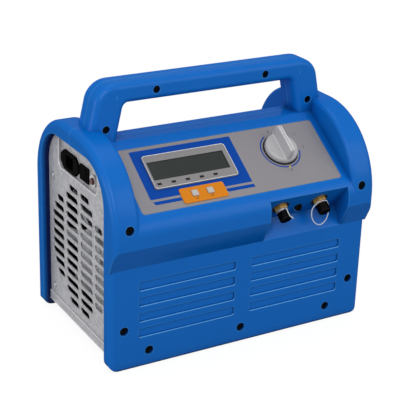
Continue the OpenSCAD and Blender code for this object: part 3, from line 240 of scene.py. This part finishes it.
screwLook = {"colour": (0.0018, 0.0018, 0.002), "cloud": 60.0, "mottle": 0.2, "grain": 1500.0,
             "relief": 0.1, "rough": 0.30, "specular": 0.0, "gloss": 0.006, "glossRough": 0.2,
             "edge": 0.0003, "highlightShare": 0.3, "highlightColour": (0.05, 0.05, 0.05, 1.0)}
rubberLook = {"colour": (0.012, 0.012, 0.013), "cloud": 30.0, "mottle": 0.2, "grain": 800.0, "relief": 0.25,
              "rough": 0.72, "specular": 0.2, "edge": 0.0006}
steelLook = {"colour": (0.46, 0.46, 0.47), "cloud": 40.0, "mottle": 0.06, "grain": 900.0, "relief": 0.08,
             "rough": 0.38, "metal": 1.0, "edge": 0.0004}
brassLook = {"colour": (0.62, 0.37, 0.10), "cloud": 60.0, "mottle": 0.12, "grain": 1100.0,
             "relief": 0.10, "rough": 0.30, "metal": 0.6, "edge": 0.0006, "highlightShare": 0.6,
             "highlightColour": (0.95, 0.74, 0.42, 1.0)}
# light grey finish; on the rolled edges, lips and grip beads it paints their highlight
highlightEdgeLook = {"colour": (0.72, 0.72, 0.74), "cloud": 40.0, "mottle": 0.10, "grain": 900.0, "relief": 0.08,
            "rough": 0.34, "metal": 0.3, "specular": 0.4, "edge": 0.0003}
# lighter blue: a painted highlight on the lower edges of the moulded bands
ledgeHighlightLook = {"colour": (0.12, 0.43, 0.93), "cloud": 11.0, "mottle": 0.06, "grain": 1100.0, "relief": 0.12,
             "rough": 0.5, "specular": 0.0, "gloss": 0.004, "glossRough": 0.3, "edge": 0.0003}
castLook = {"colour": (0.38, 0.385, 0.40), "cloud": 30.0, "mottle": 0.12, "grain": 500.0, "relief": 0.4,
            "rough": 0.5, "metal": 0.8, "edge": 0.0008}
strapLook = {"colour": (0.62, 0.66, 0.72), "cloud": 40.0, "mottle": 0.04, "grain": 1400.0, "relief": 0.08,
             "rough": 0.35, "edge": 0.0003, "subsurface": 0.2}
redLook = {"colour": (0.085, 0.014, 0.011), "cloud": 60.0, "mottle": 0.08, "grain": 1500.0, "relief": 0.06,
           "rough": 0.3, "specular": 0.3, "edge": 0.0004}
fanLook = {"colour": (0.50, 0.51, 0.53), "cloud": 20.0, "mottle": 0.06, "grain": 900.0, "relief": 0.15,
           "rough": 0.48, "edge": 0.0005}
finLook = {"colour": (0.52, 0.53, 0.55), "cloud": 30.0, "mottle": 0.10, "grain": 600.0, "relief": 0.15,
           "rough": 0.38, "metal": 0.9, "edge": 0.0003}
copperLook = {"colour": (0.62, 0.27, 0.14), "cloud": 45.0, "mottle": 0.22, "grain": 900.0, "relief": 0.12,
              "rough": 0.32, "metal": 1.0, "edge": 0.0004}
lampLook = {"colour": (0.006, 0.006, 0.009), "cloud": 60.0, "mottle": 0.1, "grain": 1500.0, "relief": 0.03,
            "rough": 0.16, "specular": 0.25, "edge": 0.0003}
printBlueLook = {"colour": (0.004, 0.064, 0.370), "cloud": 10.0, "mottle": 0.04, "grain": 1500.0,
                 "relief": 0.05, "rough": 0.42, "specular": 0.0, "gloss": 0.006, "glossRough": 0.2,
                 "edge": 0.0001}
# dark ink for print, also used for the painted shadow ring round the knob and the painted shadow line round
# the display window
darkInkAndShadowLook = {"colour": (0.02, 0.02, 0.024), "cloud": 60.0, "mottle": 0.1, "grain": 1500.0, "relief": 0.05,
                 "rough": 0.45, "specular": 0.2, "edge": 0.0001}
printYellowLook = {"colour": (0.70, 0.50, 0.015), "cloud": 60.0, "mottle": 0.05, "grain": 1500.0,
                   "relief": 0.05, "rough": 0.42, "specular": 0.2, "edge": 0.0001}


# Display window: dark glass over rows of fine cells
displayLook = {"colour": (0.020, 0.025, 0.023), "lit": (0.036, 0.043, 0.040), "cell": 0.0009, "rough": 0.22}


def displayFinish(name, look):
    made, pen = blankMaterial(name)
    spot = pen.node("ShaderNodeTexCoord", out="Object")
    apart = pen.node("ShaderNodeSeparateXYZ", None, {"Vector": spot})
    across = pen.maths("PINGPONG", apart, look["cell"]) / look["cell"]
    upward = pen.maths("PINGPONG", apart.other("Z"), look["cell"]) / look["cell"]
    cell = (across > 0.12) * (upward > 0.12)
    cloud = noise(pen, spot, 12.0, 2.0)
    tint = pen.mix(cell * 0.3 + cloud * 0.5, (*look["colour"], 1.0), (*look["lit"], 1.0))
    skin = pen.node("ShaderNodeBsdfPrincipled", None, {
        "Base Color": tint, "Roughness": look["rough"] + (cloud - 0.5) * 0.06,
        "Specular IOR Level": 0.12, "Coat Weight": 0.06, "Coat Roughness": 0.05})
    pen.node("ShaderNodeOutputMaterial", None, {"Surface": skin})
    return made


# Circuit board: green lacquer with copper tracks
boardLook = {"colour": (0.02, 0.14, 0.05), "track": (0.05, 0.27, 0.09), "scale": 160.0, "rough": 0.35}


def boardFinish(name, look):
    made, pen = blankMaterial(name)
    spot = pen.node("ShaderNodeTexCoord", out="Object")
    cells = pen.node("ShaderNodeTexVoronoi", {"distance": "MANHATTAN", "feature": "F1"},
                     {"Vector": spot, "Scale": look["scale"]}, out="Distance")
    tint = pen.mix(cells > 0.42, (*look["colour"], 1.0), (*look["track"], 1.0))
    skin = pen.node("ShaderNodeBsdfPrincipled", None, {
        "Base Color": tint, "Roughness": look["rough"] + cells * 0.1, "Coat Weight": 0.3})
    pen.node("ShaderNodeOutputMaterial", None, {"Surface": skin})
    return made


finishes = {
    "shell": finish("blueMoulding", shellLook), "sheet_metal": finish("zincSheet", sheetLook),
    "label": finish("greyOverlay", labelLook), "bezel": finish("paleFrame", bezelLook),
    "orange_pad": finish("orangePad", orangeLook), "white_key": finish("whiteKey", keyLook),
    "knob": finish("paleKnob", knobLook), "black_plastic": finish("blackPlastic", blackLook),
    "black_screw": finish("blackScrew", screwLook), "rubber": finish("blackRubber", rubberLook),
    "bright_steel": finish("platedSteel", steelLook), "brass": finish("turnedBrass", brassLook),
    "cast_alloy": finish("castAlloy", castLook), "white_strap": finish("whiteStrap", strapLook),
    "red_button": finish("redButton", redLook), "fan_grey": finish("fanPlastic", fanLook),
    "fin_alloy": finish("finStock", finLook), "copper": finish("bareCopper", copperLook),
    "lamp": finish("lampWindow", lampLook), "lcd": displayFinish("displayGlass", displayLook),
    "board": boardFinish("circuitBoard", boardLook), "bright_edge": finish("highlightEdge", highlightEdgeLook),
    "ledge": finish("ledgeHighlightBlue", ledgeHighlightLook),
}
inks = {
    "blue": finish("blueInk", printBlueLook), "dark": finish("darkInkAndShadow", darkInkAndShadowLook),
    "yellow": finish("yellowInk", printYellowLook),
}
glossy = finish("glossyBlack", capLook)
for sub in frame["record"]["subparts"]:
    mesh = nodes[sub["node"]].data
    mesh.materials.clear()
    capped = sub["node"] in ("inlet_cap", "outlet_cap")
    mesh.materials.append(glossy if capped else finishes[sub["material_slot"]])
print("finishes:", len(finishes) + len(inks))


# Control face in its own plane: x along the machine, y up the slope, z off it
slope = {"tilt": 33.5, "front": 109.6, "low": 219.7}
onSlope = (Matrix.Translation((0, -slope["front"] * mm, slope["low"] * mm))
           @ Matrix.Rotation(math.radians(slope["tilt"]), 4, "X") @ Matrix.Scale(mm, 4))


def addMesh(name, mesh, material, body, sharpAngle=35):
    mesh.name = name
    mesh.materials.clear()
    mesh.materials.append(material)
    mesh.shade_smooth()
    mesh.set_sharp_from_angle(angle=math.radians(sharpAngle))
    obj = bpy.data.objects.new(name, mesh)
    bpy.context.scene.collection.objects.link(obj)
    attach(obj, body)
    return obj


def addPiece(name, shape, place, material, body, sharpAngle=35):
    bmesh.ops.remove_doubles(shape, verts=shape.verts, dist=1e-6)
    bmesh.ops.recalc_face_normals(shape, faces=shape.faces)
    bmesh.ops.transform(shape, matrix=place, verts=shape.verts)
    mesh = bpy.data.meshes.new(name)
    shape.to_mesh(mesh)
    shape.free()
    return addMesh(name, mesh, material, body, sharpAngle)


def roundedOutline(x0, y0, x1, y1, r, steps=5):
    corners = ((x1 - r, y1 - r, 0), (x0 + r, y1 - r, 90), (x0 + r, y0 + r, 180), (x1 - r, y0 + r, 270))
    points = []
    for cx, cy, start in corners:
        for i in range(steps + 1):
            a = math.radians(start + 90 * i / steps)
            points.append((cx + r * math.cos(a), cy + r * math.sin(a)))
    return points


def arcOutline(cx, cy, r0, r1, start, end, steps=64):
    turn = [math.radians(start + (end - start) * i / steps) for i in range(steps + 1)]
    outer = [(cx + r1 * math.cos(a), cy + r1 * math.sin(a)) for a in turn]
    inner = [(cx + r0 * math.cos(a), cy + r0 * math.sin(a)) for a in reversed(turn)]
    return outer + inner


def layInk(shape, outline, low, high):  # one printed patch with its own small thickness
    bottom = [shape.verts.new((x, y, low)) for x, y in outline]
    top = [shape.verts.new((x, y, high)) for x, y in outline]
    count = len(outline)
    for i in range(count):
        j = (i + 1) % count
        shape.faces.new((bottom[i], bottom[j], top[j], top[i]))
    shape.faces.new(top)
    shape.faces.new(list(reversed(bottom)))


# Printing on the label, with a painted shadow ring round the knob's seat
printPlan = {"ink": 0.12, "sink": 0.3, "field": (-134, 19.7, 18, 97), "fieldCorner": 1.5,
             "strips": ((-132, 11, -91, 16), (-25, 11, 19, 16)), "lean": 2.2, "dial": (83, 61),
             "dialRing": (27.8, 29.6), "dialTurn": (28, 258), "knobShadowRing": (22.9, 25.6),
             "knobShadowTurns": ((1, 179), (181, 359)), "mark": (84, 32.4), "markSize": 1.8, "markLift": 0.03}


def slantedStrip(x0, y0, x1, y1, lean):
    return [(x0 + lean, y0), (x1, y0), (x1 - lean / 2, y1), (x0, y1)]


inkFrom, inkTo = -printPlan["sink"], printPlan["ink"]
fieldShape = bmesh.new()
layInk(fieldShape, roundedOutline(*printPlan["field"], printPlan["fieldCorner"]), inkFrom, inkTo)
for strip in printPlan["strips"]:
    layInk(fieldShape, slantedStrip(*strip, printPlan["lean"]), inkFrom, inkTo)
dialX, dialY = printPlan["dial"]
dialTurn = (90 + a for a in printPlan["dialTurn"])
layInk(fieldShape, arcOutline(dialX, dialY, *printPlan["dialRing"], *dialTurn), inkFrom, inkTo)
addPiece("labelBluePrint", fieldShape, onSlope, inks["blue"], "machine")

# painted shadow: dark ring where the knob's side throws shade on the label
knobShadowShape = bmesh.new()
for turn in printPlan["knobShadowTurns"]:
    layInk(knobShadowShape, arcOutline(dialX, dialY, *printPlan["knobShadowRing"], *turn), inkFrom, inkTo)
addPiece("dialKnobShadow", knobShadowShape, onSlope, inks["dark"], "machine")
markShape = bmesh.new()
markX, markY = printPlan["mark"]
size = printPlan["markSize"]
layInk(markShape, [(markX - size, markY - size), (markX + size, markY - size), (markX, markY + size)],
       inkFrom, inkTo + printPlan["markLift"])
addPiece("dialMark", markShape, onSlope, inks["yellow"], "machine")
print("label printed")


# Trees for what repeats: named inputs, set by identifier, then turned into plain meshes
def newTree(name, inputs):
    tree = bpy.data.node_groups.new(name, "GeometryNodeTree")
    tree.interface.new_socket("Geometry", in_out="INPUT", socket_type="NodeSocketGeometry")
    for label, kind in inputs:
        tree.interface.new_socket(label, in_out="INPUT", socket_type=kind)
    tree.interface.new_socket("Geometry", in_out="OUTPUT", socket_type="NodeSocketGeometry")
    pen = Wire(tree)
    return tree, pen, pen.node("NodeGroupInput")


def endTree(pen, shape, material):
    whole = pen.node("GeometryNodeRealizeInstances", None, {"Geometry": shape})
    dressed = pen.node("GeometryNodeSetMaterial", None, {"Geometry": whole, "Material": material})
    pen.node("NodeGroupOutput", None, {"Geometry": dressed})


def runTree(tree, source, values):
    carrier = bpy.data.objects.new(tree.name + "Carrier", source)
    bpy.context.scene.collection.objects.link(carrier)
    step = carrier.modifiers.new("grow", "NODES")
    step.node_group = tree
    for item in tree.interface.items_tree:
        if item.in_out == "INPUT" and item.name in values:
            step[item.identifier] = values[item.name]
    seen = carrier.evaluated_get(bpy.context.evaluated_depsgraph_get())
    mesh = bpy.data.meshes.new_from_object(seen)
    carrier.modifiers.clear()
    bpy.data.objects.remove(carrier)
    return mesh


# Plain numbers beside the dial and ON and OFF under the keys
numberPlan = {"size": 5.2, "low": 0.03, "thick": 0.1,
              "places": (("0", 79, 93.5), ("1", 117, 82.5), ("2", 120.5, 60), ("3", 84.5, 26.2)),
              "keySize": 2.9, "keyLow": 1.22, "keyWords": (("ON", -70.7, 9.6), ("OFF", -47.9, 9.6))}


def letterShape(name, word, x, y, size, low, material):
    curve = bpy.data.curves.new(name, "FONT")
    curve.body = word
    curve.size = size
    curve.align_x = "CENTER"
    curve.align_y = "CENTER"
    curve.extrude = numberPlan["thick"]
    curve.resolution_u = 3
    carrier = bpy.data.objects.new(name, curve)
    bpy.context.scene.collection.objects.link(carrier)
    mesh = bpy.data.meshes.new_from_object(carrier.evaluated_get(bpy.context.evaluated_depsgraph_get()))
    bpy.data.objects.remove(carrier)
    mesh.transform(onSlope @ Matrix.Translation((x, y, low)))
    return addMesh(name, mesh, material, "machine")


for word, x, y in numberPlan["places"]:
    letterShape("dialNumber" + word, word, x, y, numberPlan["size"], numberPlan["low"], inks["dark"])
for word, x, y in numberPlan["keyWords"]:
    letterShape("keyWord" + word, word, x, y, numberPlan["keySize"], numberPlan["keyLow"], inks["dark"])
print("dial and key marks placed")


# Pressed rims round the slots of both end panels
slotPlan = {"rows": 13, "rowStep": 14, "columnStep": 46, "gap": 7, "height": 9, "field": 94,
            "middle": (7, 127), "face": 188, "shortest": 1.6, "roll": 0.4, "rim": 0.7, "rimSides": 8}


def slotOutlines():
    outlines = []
    for row in range(slotPlan["rows"]):
        z = (row - (slotPlan["rows"] - 1) / 2) * slotPlan["rowStep"]
        half = math.sqrt(max(0.0, slotPlan["field"] ** 2 - (abs(z) + slotPlan["height"] / 2) ** 2))
        for column in range(-2, 2):
            y0 = max(column * slotPlan["columnStep"] + slotPlan["gap"] / 2, -half)
            y1 = min((column + 1) * slotPlan["columnStep"] - slotPlan["gap"] / 2, half)
            if y1 - y0 > slotPlan["shortest"] * slotPlan["height"]:
                out = slotPlan["roll"]  # the rim rolls outwards from the slot
                r = slotPlan["height"] / 2 + out
                y, up = slotPlan["middle"]
                outlines.append(roundedOutline(y + y0 - out, up + z - r, y + y1 + out, up + z + r,
                                               r - 0.01, 6))
    return outlines


# Round tubes on paths: each path is its points in metres, and whether it closes
def tubeAlong(name, paths, radius, sides, material, body):
    seed = bpy.data.meshes.new(name + "Seed")
    points, edges = [], []
    for line, closed in paths:
        first = len(points)
        points += line
        edges += [(first + i, first + i + 1) for i in range(len(line) - 1)]
        if closed:
            edges.append((first + len(line) - 1, first))
    seed.from_pydata(points, edges, [])
    tree, pen, given = newTree(name, [("Radius", "NodeSocketFloat"), ("Sides", "NodeSocketInt")])
    path = pen.node("GeometryNodeMeshToCurve", None, {"Mesh": given.other("Geometry")})
    ring = pen.node("GeometryNodeCurvePrimitiveCircle", None, {
        "Resolution": given.other("Sides"), "Radius": given.other("Radius") * mm})
    tube = pen.node("GeometryNodeCurveToMesh", None,
                    {"Curve": path, "Profile Curve": ring, "Fill Caps": True})
    endTree(pen, tube, material)
    mesh = runTree(tree, seed, {"Radius": radius, "Sides": sides})
    return addMesh(name, mesh, material, body, 60)


slotPaths = [([(side * slotPlan["face"] * mm, y * mm, z * mm) for y, z in outline], True)
             for side in (-1, 1) for outline in slotOutlines()]
tubeAlong("slotRims", slotPaths, slotPlan["rim"], slotPlan["rimSides"], finishes["sheet_metal"],
          "machine")
print("slot rims pressed")


# Rolled edges of the electrics pocket and of the pan's end lips, in a light finish that paints their
# highlight
lipPlan = {"radius": 0.75, "sides": 10, "face": 188, "rear": 73, "front": -50, "low": 228, "corner": 10,
           "rearTop": 268, "frontTop": 271, "panFace": 189.4, "panTop": 26.9, "panLow": 14.3,
           "panFront": -92.8, "panRear": 106.3}


def pocketLine(plan):
    turn = [math.radians(90 * i / 6) for i in range(7)]
    r = plan["corner"]
    low = [(plan["rear"] - r + r * math.cos(a), plan["low"] + r - r * math.sin(a)) for a in turn]
    high = [(plan["front"] + r - r * math.sin(a), plan["low"] + r - r * math.cos(a)) for a in turn]
    return [(plan["rear"], plan["rearTop"])] + low + high + [(plan["front"], plan["frontTop"])]


lipPaths = [([(-lipPlan["face"] * mm, y * mm, z * mm) for y, z in pocketLine(lipPlan)], False)]
for side in (-1, 1):
    for z in (lipPlan["panTop"], lipPlan["panLow"]):
        lipPaths.append(([(side * lipPlan["panFace"] * mm, y * mm, z * mm)
                          for y in (lipPlan["panFront"], 0, lipPlan["panRear"])], False))
tubeAlong("rolledEdges", lipPaths, lipPlan["radius"], lipPlan["sides"], finishes["bright_edge"],
          "machine")
print("edges rolled")


# Light lip round the display frame, a painted highlight, and a dark line round its window, a painted shadow
framePlan = (
    {"name": "frameHighlightLip", "middle": (-59.3, 59.3), "size": (124.5, 53), "inset": 0.55, "corner": 4.0,
     "height": 2.85, "radius": 0.55, "sides": 8, "finish": finishes["bright_edge"]},
    {"name": "windowShadowLine", "middle": (-61.3, 60.3), "size": (113, 28), "inset": -0.1, "corner": 0.6,
     "height": 2.8, "radius": 0.4, "sides": 8, "finish": inks["dark"]},
)


def frameLine(plan):
    x, y = plan["middle"]
    halfX, halfY = (length / 2 - plan["inset"] for length in plan["size"])
    outline = roundedOutline(x - halfX, y - halfY, x + halfX, y + halfY, plan["corner"])
    return [onSlope @ Vector((px, py, plan["height"])) for px, py in outline]


for plan in framePlan:
    tubeAlong(plan["name"], [(frameLine(plan), True)], plan["radius"], plan["sides"], plan["finish"],
              "machine")
print("display framed")


# Raised ledges under the moulded bands of the front and the back, in a lighter blue that paints the highlight
# on the bands' lower edges
bandPlan = {"radius": 0.65, "sides": 8, "from": 12, "to": 157, "low": 46, "step": 22.6, "count": 4,
            "corner": 3, "turns": (30, 70), "drop": 0.15, "faces": (-108.85, 127.35)}


def bandLine(side, face, low, plan):
    r = plan["corner"]
    inner, outer = plan["turns"] if side > 0 else reversed(plan["turns"])
    start = [math.radians(inner * (5 - i) / 5) for i in range(6)]
    end = [math.radians(outer * i / 5) for i in range(6)]
    line = [(plan["from"] + r - r * math.sin(a), low + r - r * math.cos(a)) for a in start]
    line += [(plan["to"] - r + r * math.sin(a), low + r - r * math.cos(a)) for a in end]
    return [(side * x * mm, face * mm, (z - plan["drop"]) * mm) for x, z in line]


ledgePaths = [(bandLine(side, face, bandPlan["low"] + i * bandPlan["step"], bandPlan), False)
              for side in (-1, 1) for face in bandPlan["faces"] for i in range(bandPlan["count"])]
tubeAlong("bandHighlightLedges", ledgePaths, bandPlan["radius"], bandPlan["sides"], finishes["ledge"],
          "machine")
print("ledges moulded")


# Ports: each has its own axes, with z out along the port
portPlan = {"places": (56, 119), "front": 107.007, "height": 191.488, "tilt": 128}
portAxes = [Matrix.Translation((x * mm, -portPlan["front"] * mm, portPlan["height"] * mm))
            @ Matrix.Rotation(math.radians(portPlan["tilt"]), 4, "X") @ Matrix.Scale(mm, 4)
            for x in portPlan["places"]]


# Cap straps: thin loops round the necks of the ports
strapPlan = {"radius": 0.75, "sides": 12, "steps": 10, "loops": (
    ("inletStrap", "inlet_cap_strap", (
        (-1.6, 7.0, 6.8), (-0.5, 9.3, 6.9), (0.0, 11.2, 8.6), (0.2, 11.4, 12), (0.6, 10.6, 16.5),
        (1.8, 10.0, 20.3), (5.2, 8.0, 22.4), (8.9, 3.4, 20.6), (10.3, -1.2, 14.5), (9.9, -3.4, 9.4),
        (7.5, -4.7, 6.3), (3.8, -5.6, 5.35), (-0.6, -6.1, 5.3), (-4.6, -4.0, 5.3), (-6.1, 0.2, 5.3),
        (-4.3, 4.3, 5.3), (0.0, 6.1, 5.4), (4.3, 4.3, 6.0), (6.1, 0.0, 6.8), (4.3, -4.3, 7.05),
        (0.0, -6.1, 7.05), (-4.3, -4.3, 7.05), (-6.1, 0.0, 7.05), (-4.7, 4.2, 7.0))),
    ("outletStrap", "outlet_cap_strap", (
        (0, 6.0, 5.6), (6.5, 4.8, 5.6), (11.5, -1.2, 6.2), (13.6, -7.2, 11), (11.5, -12.4, 18.5),
        (5.0, -15.6, 25.5), (-4.5, -16.6, 29.4), (-14.2, -12.2, 27.6), (-20.3, -4.6, 21.3),
        (-18.6, 2.6, 12.9), (-8.5, 6.4, 6.8))))}


def smoothLoop(points, steps):  # a closed curve through the points
    out = []
    count = len(points)
    for i in range(count):
        a, b, c, d = (Vector(points[(i + k) % count]) for k in (-1, 0, 1, 2))
        for k in range(steps):
            t = k / steps
            bend = (2 * a - 5 * b + 4 * c - d) * t * t
            twist = (3 * b - a - 3 * c + d) * t ** 3
            out.append(0.5 * (2 * b + (c - a) * t + bend + twist))
    return out


for place, (name, node, points) in zip(portAxes, strapPlan["loops"]):
    line = [place @ p for p in smoothLoop(points, strapPlan["steps"])]
    strap = tubeAlong(name, [(line, True)], strapPlan["radius"], strapPlan["sides"],
                      finishes["white_strap"], "machine")
    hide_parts(node)
print("straps hung")


# Threads of both ports, seen when the caps are off
threadPlan = {"from": 9.3, "to": 16.7, "pitch": 1.27, "radius": 5.34, "ridge": 0.4, "sides": 6,
              "perTurn": 28}


def helixLine(place, plan):
    count = int((plan["to"] - plan["from"]) / plan["pitch"] * plan["perTurn"])
    line = []
    for i in range(count + 1):
        a = 2 * math.pi * i / plan["perTurn"]
        line.append(place @ Vector((plan["radius"] * math.cos(a), plan["radius"] * math.sin(a),
                                    plan["from"] + plan["pitch"] * i / plan["perTurn"])))
    return line


tubeAlong("portThreads", [(helixLine(place, threadPlan), False) for place in portAxes],
          threadPlan["ridge"], threadPlan["sides"], finishes["brass"], "machine")
print("threads cut")


# Selector knob: dished disc and a waisted bar grip, whose stops give place and rise along it
knobPlan = {"middle": (83, 61), "lift": 1.0, "radius": 23.5, "height": 8.0, "chamfer": 2.0, "dish": 0.7,
            "gripHeight": 17.0, "gripFrom": -22.5, "gripTo": 26.5, "gripWidth": 7.5, "waist": 0.9,
            "flare": 0.6, "taperFrom": 0.9, "taper": 2.6, "gripStops": (
                (-1.0, 0.0), (-0.995, 0.22), (-0.985, 0.5), (-0.965, 0.74), (-0.93, 0.91), (-0.88, 0.98),
                (-0.7, 1.0), (-0.3, 1.0), (0.0, 1.0), (0.3, 1.0), (0.6, 1.0), (0.80, 0.99), (0.90, 0.93),
                (0.955, 0.76), (0.985, 0.4), (1.0, 0.0))}


def spinProfile(shape, profile, steps=96):
    rings = []
    for r, z in profile:
        if r < 1e-6:
            rings.append([shape.verts.new((0, 0, z))])
        else:
            turn = [2 * math.pi * i / steps for i in range(steps)]
            rings.append([shape.verts.new((r * math.cos(a), r * math.sin(a), z)) for a in turn])
    for low, high in zip(rings, rings[1:]):
        for i in range(steps):
            j = (i + 1) % steps
            face = [low[i % len(low)], low[j % len(low)], high[j % len(high)], high[i % len(high)]]
            shape.faces.new(list(dict.fromkeys(face)))


def gripStation(y, height, halfBase, halfTop):
    side = [(halfBase, -0.6), (halfBase - 0.25, 0.6), ((halfBase + halfTop) / 2 - 0.25, height * 0.4),
            (halfTop, height - 1.4), (halfTop - 0.35, height - 0.45), (halfTop - 1.2, height)]
    side = [(w, max(z, -0.6)) for w, z in side]
    return [(w, y, z) for w, z in side] + [(-w, y, z) for w, z in reversed(side)]


def knobShape(plan):
    shape = bmesh.new()
    r, h, c, dish = (plan[k] for k in ("radius", "height", "chamfer", "dish"))
    spinProfile(shape, [
        (0, 0), (r - 0.6, 0), (r, 0.6), (r, h - c - 0.5), (r - 0.25, h - c), (r - c, h - 0.25),
        (r - c - 0.6, h), (r - c - 1.5, h - 0.1), (r - c - 2.0, h - 0.55), (r - c - 6, h - dish),
        (0, h - dish)])
    half = (plan["gripTo"] - plan["gripFrom"]) / 2
    shift = (plan["gripTo"] + plan["gripFrom"]) / 2
    sections = []
    for share, rise in plan["gripStops"]:
        waist = plan["waist"] * math.cos(share * math.pi / 2)
        width = plan["gripWidth"] / 2
        past = abs(share) - plan["taperFrom"]
        taper = 1.0 if past < 0 else 1.0 - plan["taper"] * past
        sections.append(gripStation(shift + share * half, max(0.2, rise * plan["gripHeight"]),
                                    (width + plan["flare"]) * taper, max(1.5, width - waist) * taper))
    loops = [[shape.verts.new((x, y, h - dish + z)) for x, y, z in section] for section in sections]
    for low, high in zip(loops, loops[1:]):
        for i in range(len(low)):
            j = (i + 1) % len(low)
            shape.faces.new((low[i], low[j], high[j], high[i]))
    shape.faces.new(loops[0])
    shape.faces.new(list(reversed(loops[-1])))
    return shape


knobPlace = onSlope @ Matrix.Translation((*knobPlan["middle"], knobPlan["lift"]))
knob = addPiece("selectorKnob", knobShape(knobPlan), knobPlace, finishes["knob"], "selector", 28)
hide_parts("selector_knob")

# Beads along the foot and the top of the grip, light-coloured as a painted highlight: how far out, how high,
# from where to where
beadPlan = {"radius": 0.55, "sides": 8, "parts": 6,
            "lines": ((4.5, 7.6, -20.5, 21.5), (2.35, 24.2, -20.8, 22.0))}
beadLines = []
for side in (-1, 1):
    for x, z, y0, y1 in beadPlan["lines"]:
        shares = [i / beadPlan["parts"] for i in range(beadPlan["parts"] + 1)]
        beadLines.append(([knobPlace @ Vector((side * x, y0 + (y1 - y0) * t, z)) for t in shares], False))
tubeAlong("gripHighlightBeads", beadLines, beadPlan["radius"], beadPlan["sides"], finishes["bright_edge"],
          "selector")
print("knob turned")


# Floor, world and lamps
stagePlan = {"floor": 6.0, "floorShown": (0.95, 0.95, 0.95, 1.0), "floorBounce": (0.26, 0.26, 0.26, 1.0),
             "glow": 0.86, "glowStrength": 1.06, "sky": 0.42, "white": (1.0, 1.0, 1.0, 1.0), "aim": 0.18}


def seenShare(pen):  # 1 for what the camera sees, also in a reflection or through glass
    rays = pen.node("ShaderNodeLightPath", out="Is Camera Ray")
    return (rays + rays.other("Is Glossy Ray") + rays.other("Is Transmission Ray")).within()


floorShape = bmesh.new()
bmesh.ops.create_grid(floorShape, x_segments=1, y_segments=1, size=stagePlan["floor"])
floorMesh = bpy.data.meshes.new("paleFloor")
floorShape.to_mesh(floorMesh)
floorShape.free()
floor = bpy.data.objects.new("paleFloor", floorMesh)
bpy.context.scene.collection.objects.link(floor)
floorFinish, pen = blankMaterial("palePaper")
paper = pen.node("ShaderNodeBsdfDiffuse", None, {"Color": stagePlan["floorShown"]})
dim = pen.node("ShaderNodeBsdfDiffuse", None, {"Color": stagePlan["floorBounce"]})
glow = pen.node("ShaderNodeEmission", None,
                {"Color": stagePlan["white"], "Strength": stagePlan["glowStrength"]})
shown = pen.node("ShaderNodeMixShader", None, {0: stagePlan["glow"], 1: paper, 2: glow})
both = pen.node("ShaderNodeMixShader", None, {0: seenShare(pen), 1: dim, 2: shown})
pen.node("ShaderNodeOutputMaterial", None, {"Surface": both})
floorMesh.materials.append(floorFinish)

world = bpy.data.worlds.new("studio")
bpy.context.scene.world = world
world.use_nodes = True
world.node_tree.nodes.clear()
pen = Wire(world.node_tree)
skyLight = pen.node("ShaderNodeBackground", None,
                    {"Color": stagePlan["white"], "Strength": stagePlan["sky"]})
skyWhite = pen.node("ShaderNodeBackground", None, {"Color": stagePlan["white"], "Strength": 1.0})
sky = pen.node("ShaderNodeMixShader", None, {0: seenShare(pen), 1: skyLight, 2: skyWhite})
pen.node("ShaderNodeOutputWorld", None, {"Surface": sky})

lampPlan = (
    {"name": "keyLamp", "place": (-1.0, -1.8, 1.8), "size": 1.8, "power": 24.0},
    {"name": "fillLamp", "place": (1.4, -1.8, 1.3), "size": 1.8, "power": 13.0},
    {"name": "leftLamp", "place": (-2.2, -0.1, 0.5), "size": 1.4, "power": 13.0},
    {"name": "topLamp", "place": (0.1, 0.4, 2.2), "size": 1.6, "power": 7.0},
    {"name": "backLamp", "place": (0.9, 2.1, 1.0), "size": 1.6, "power": 9.0},
)
for plan in lampPlan:
    lamp = bpy.data.lights.new(plan["name"], "AREA")
    lamp.shape = "DISK"
    lamp.size = plan["size"]
    lamp.energy = plan["power"]
    obj = bpy.data.objects.new(plan["name"], lamp)
    obj.location = plan["place"]
    aim = Vector((0, 0, stagePlan["aim"])) - Vector(plan["place"])
    obj.rotation_euler = aim.to_track_quat("-Z", "Y").to_euler()
    bpy.context.scene.collection.objects.link(obj)

# Camera where the photograph was taken from
shot = {"azimuth": -30.29, "elevation": 22.52, "roll": 1.825, "place": (-0.79535, -1.34949, 0.82142),
        "lens": 109.06, "sensor": 36.0}
a, e, roll = (math.radians(shot[k]) for k in ("azimuth", "elevation", "roll"))
back = Vector((math.sin(a) * math.cos(e), -math.cos(a) * math.cos(e), math.sin(e)))
right = (-back).cross(Vector((0, 0, 1))).normalized()
up = right.cross(-back)
right, up = right * math.cos(roll) + up * math.sin(roll), up * math.cos(roll) - right * math.sin(roll)
lens = bpy.data.cameras.new("photoCamera")
lens.lens = shot["lens"]
lens.sensor_width = shot["sensor"]
lens.clip_start = 0.05
camera = bpy.data.objects.new("photoCamera", lens)
camera.matrix_world = Matrix.Translation(shot["place"]) @ Matrix((right, up, back)).transposed().to_4x4()
bpy.context.scene.collection.objects.link(camera)
bpy.context.scene.camera = camera
bpy.context.scene.view_settings.view_transform = "Standard"
print("stage set")
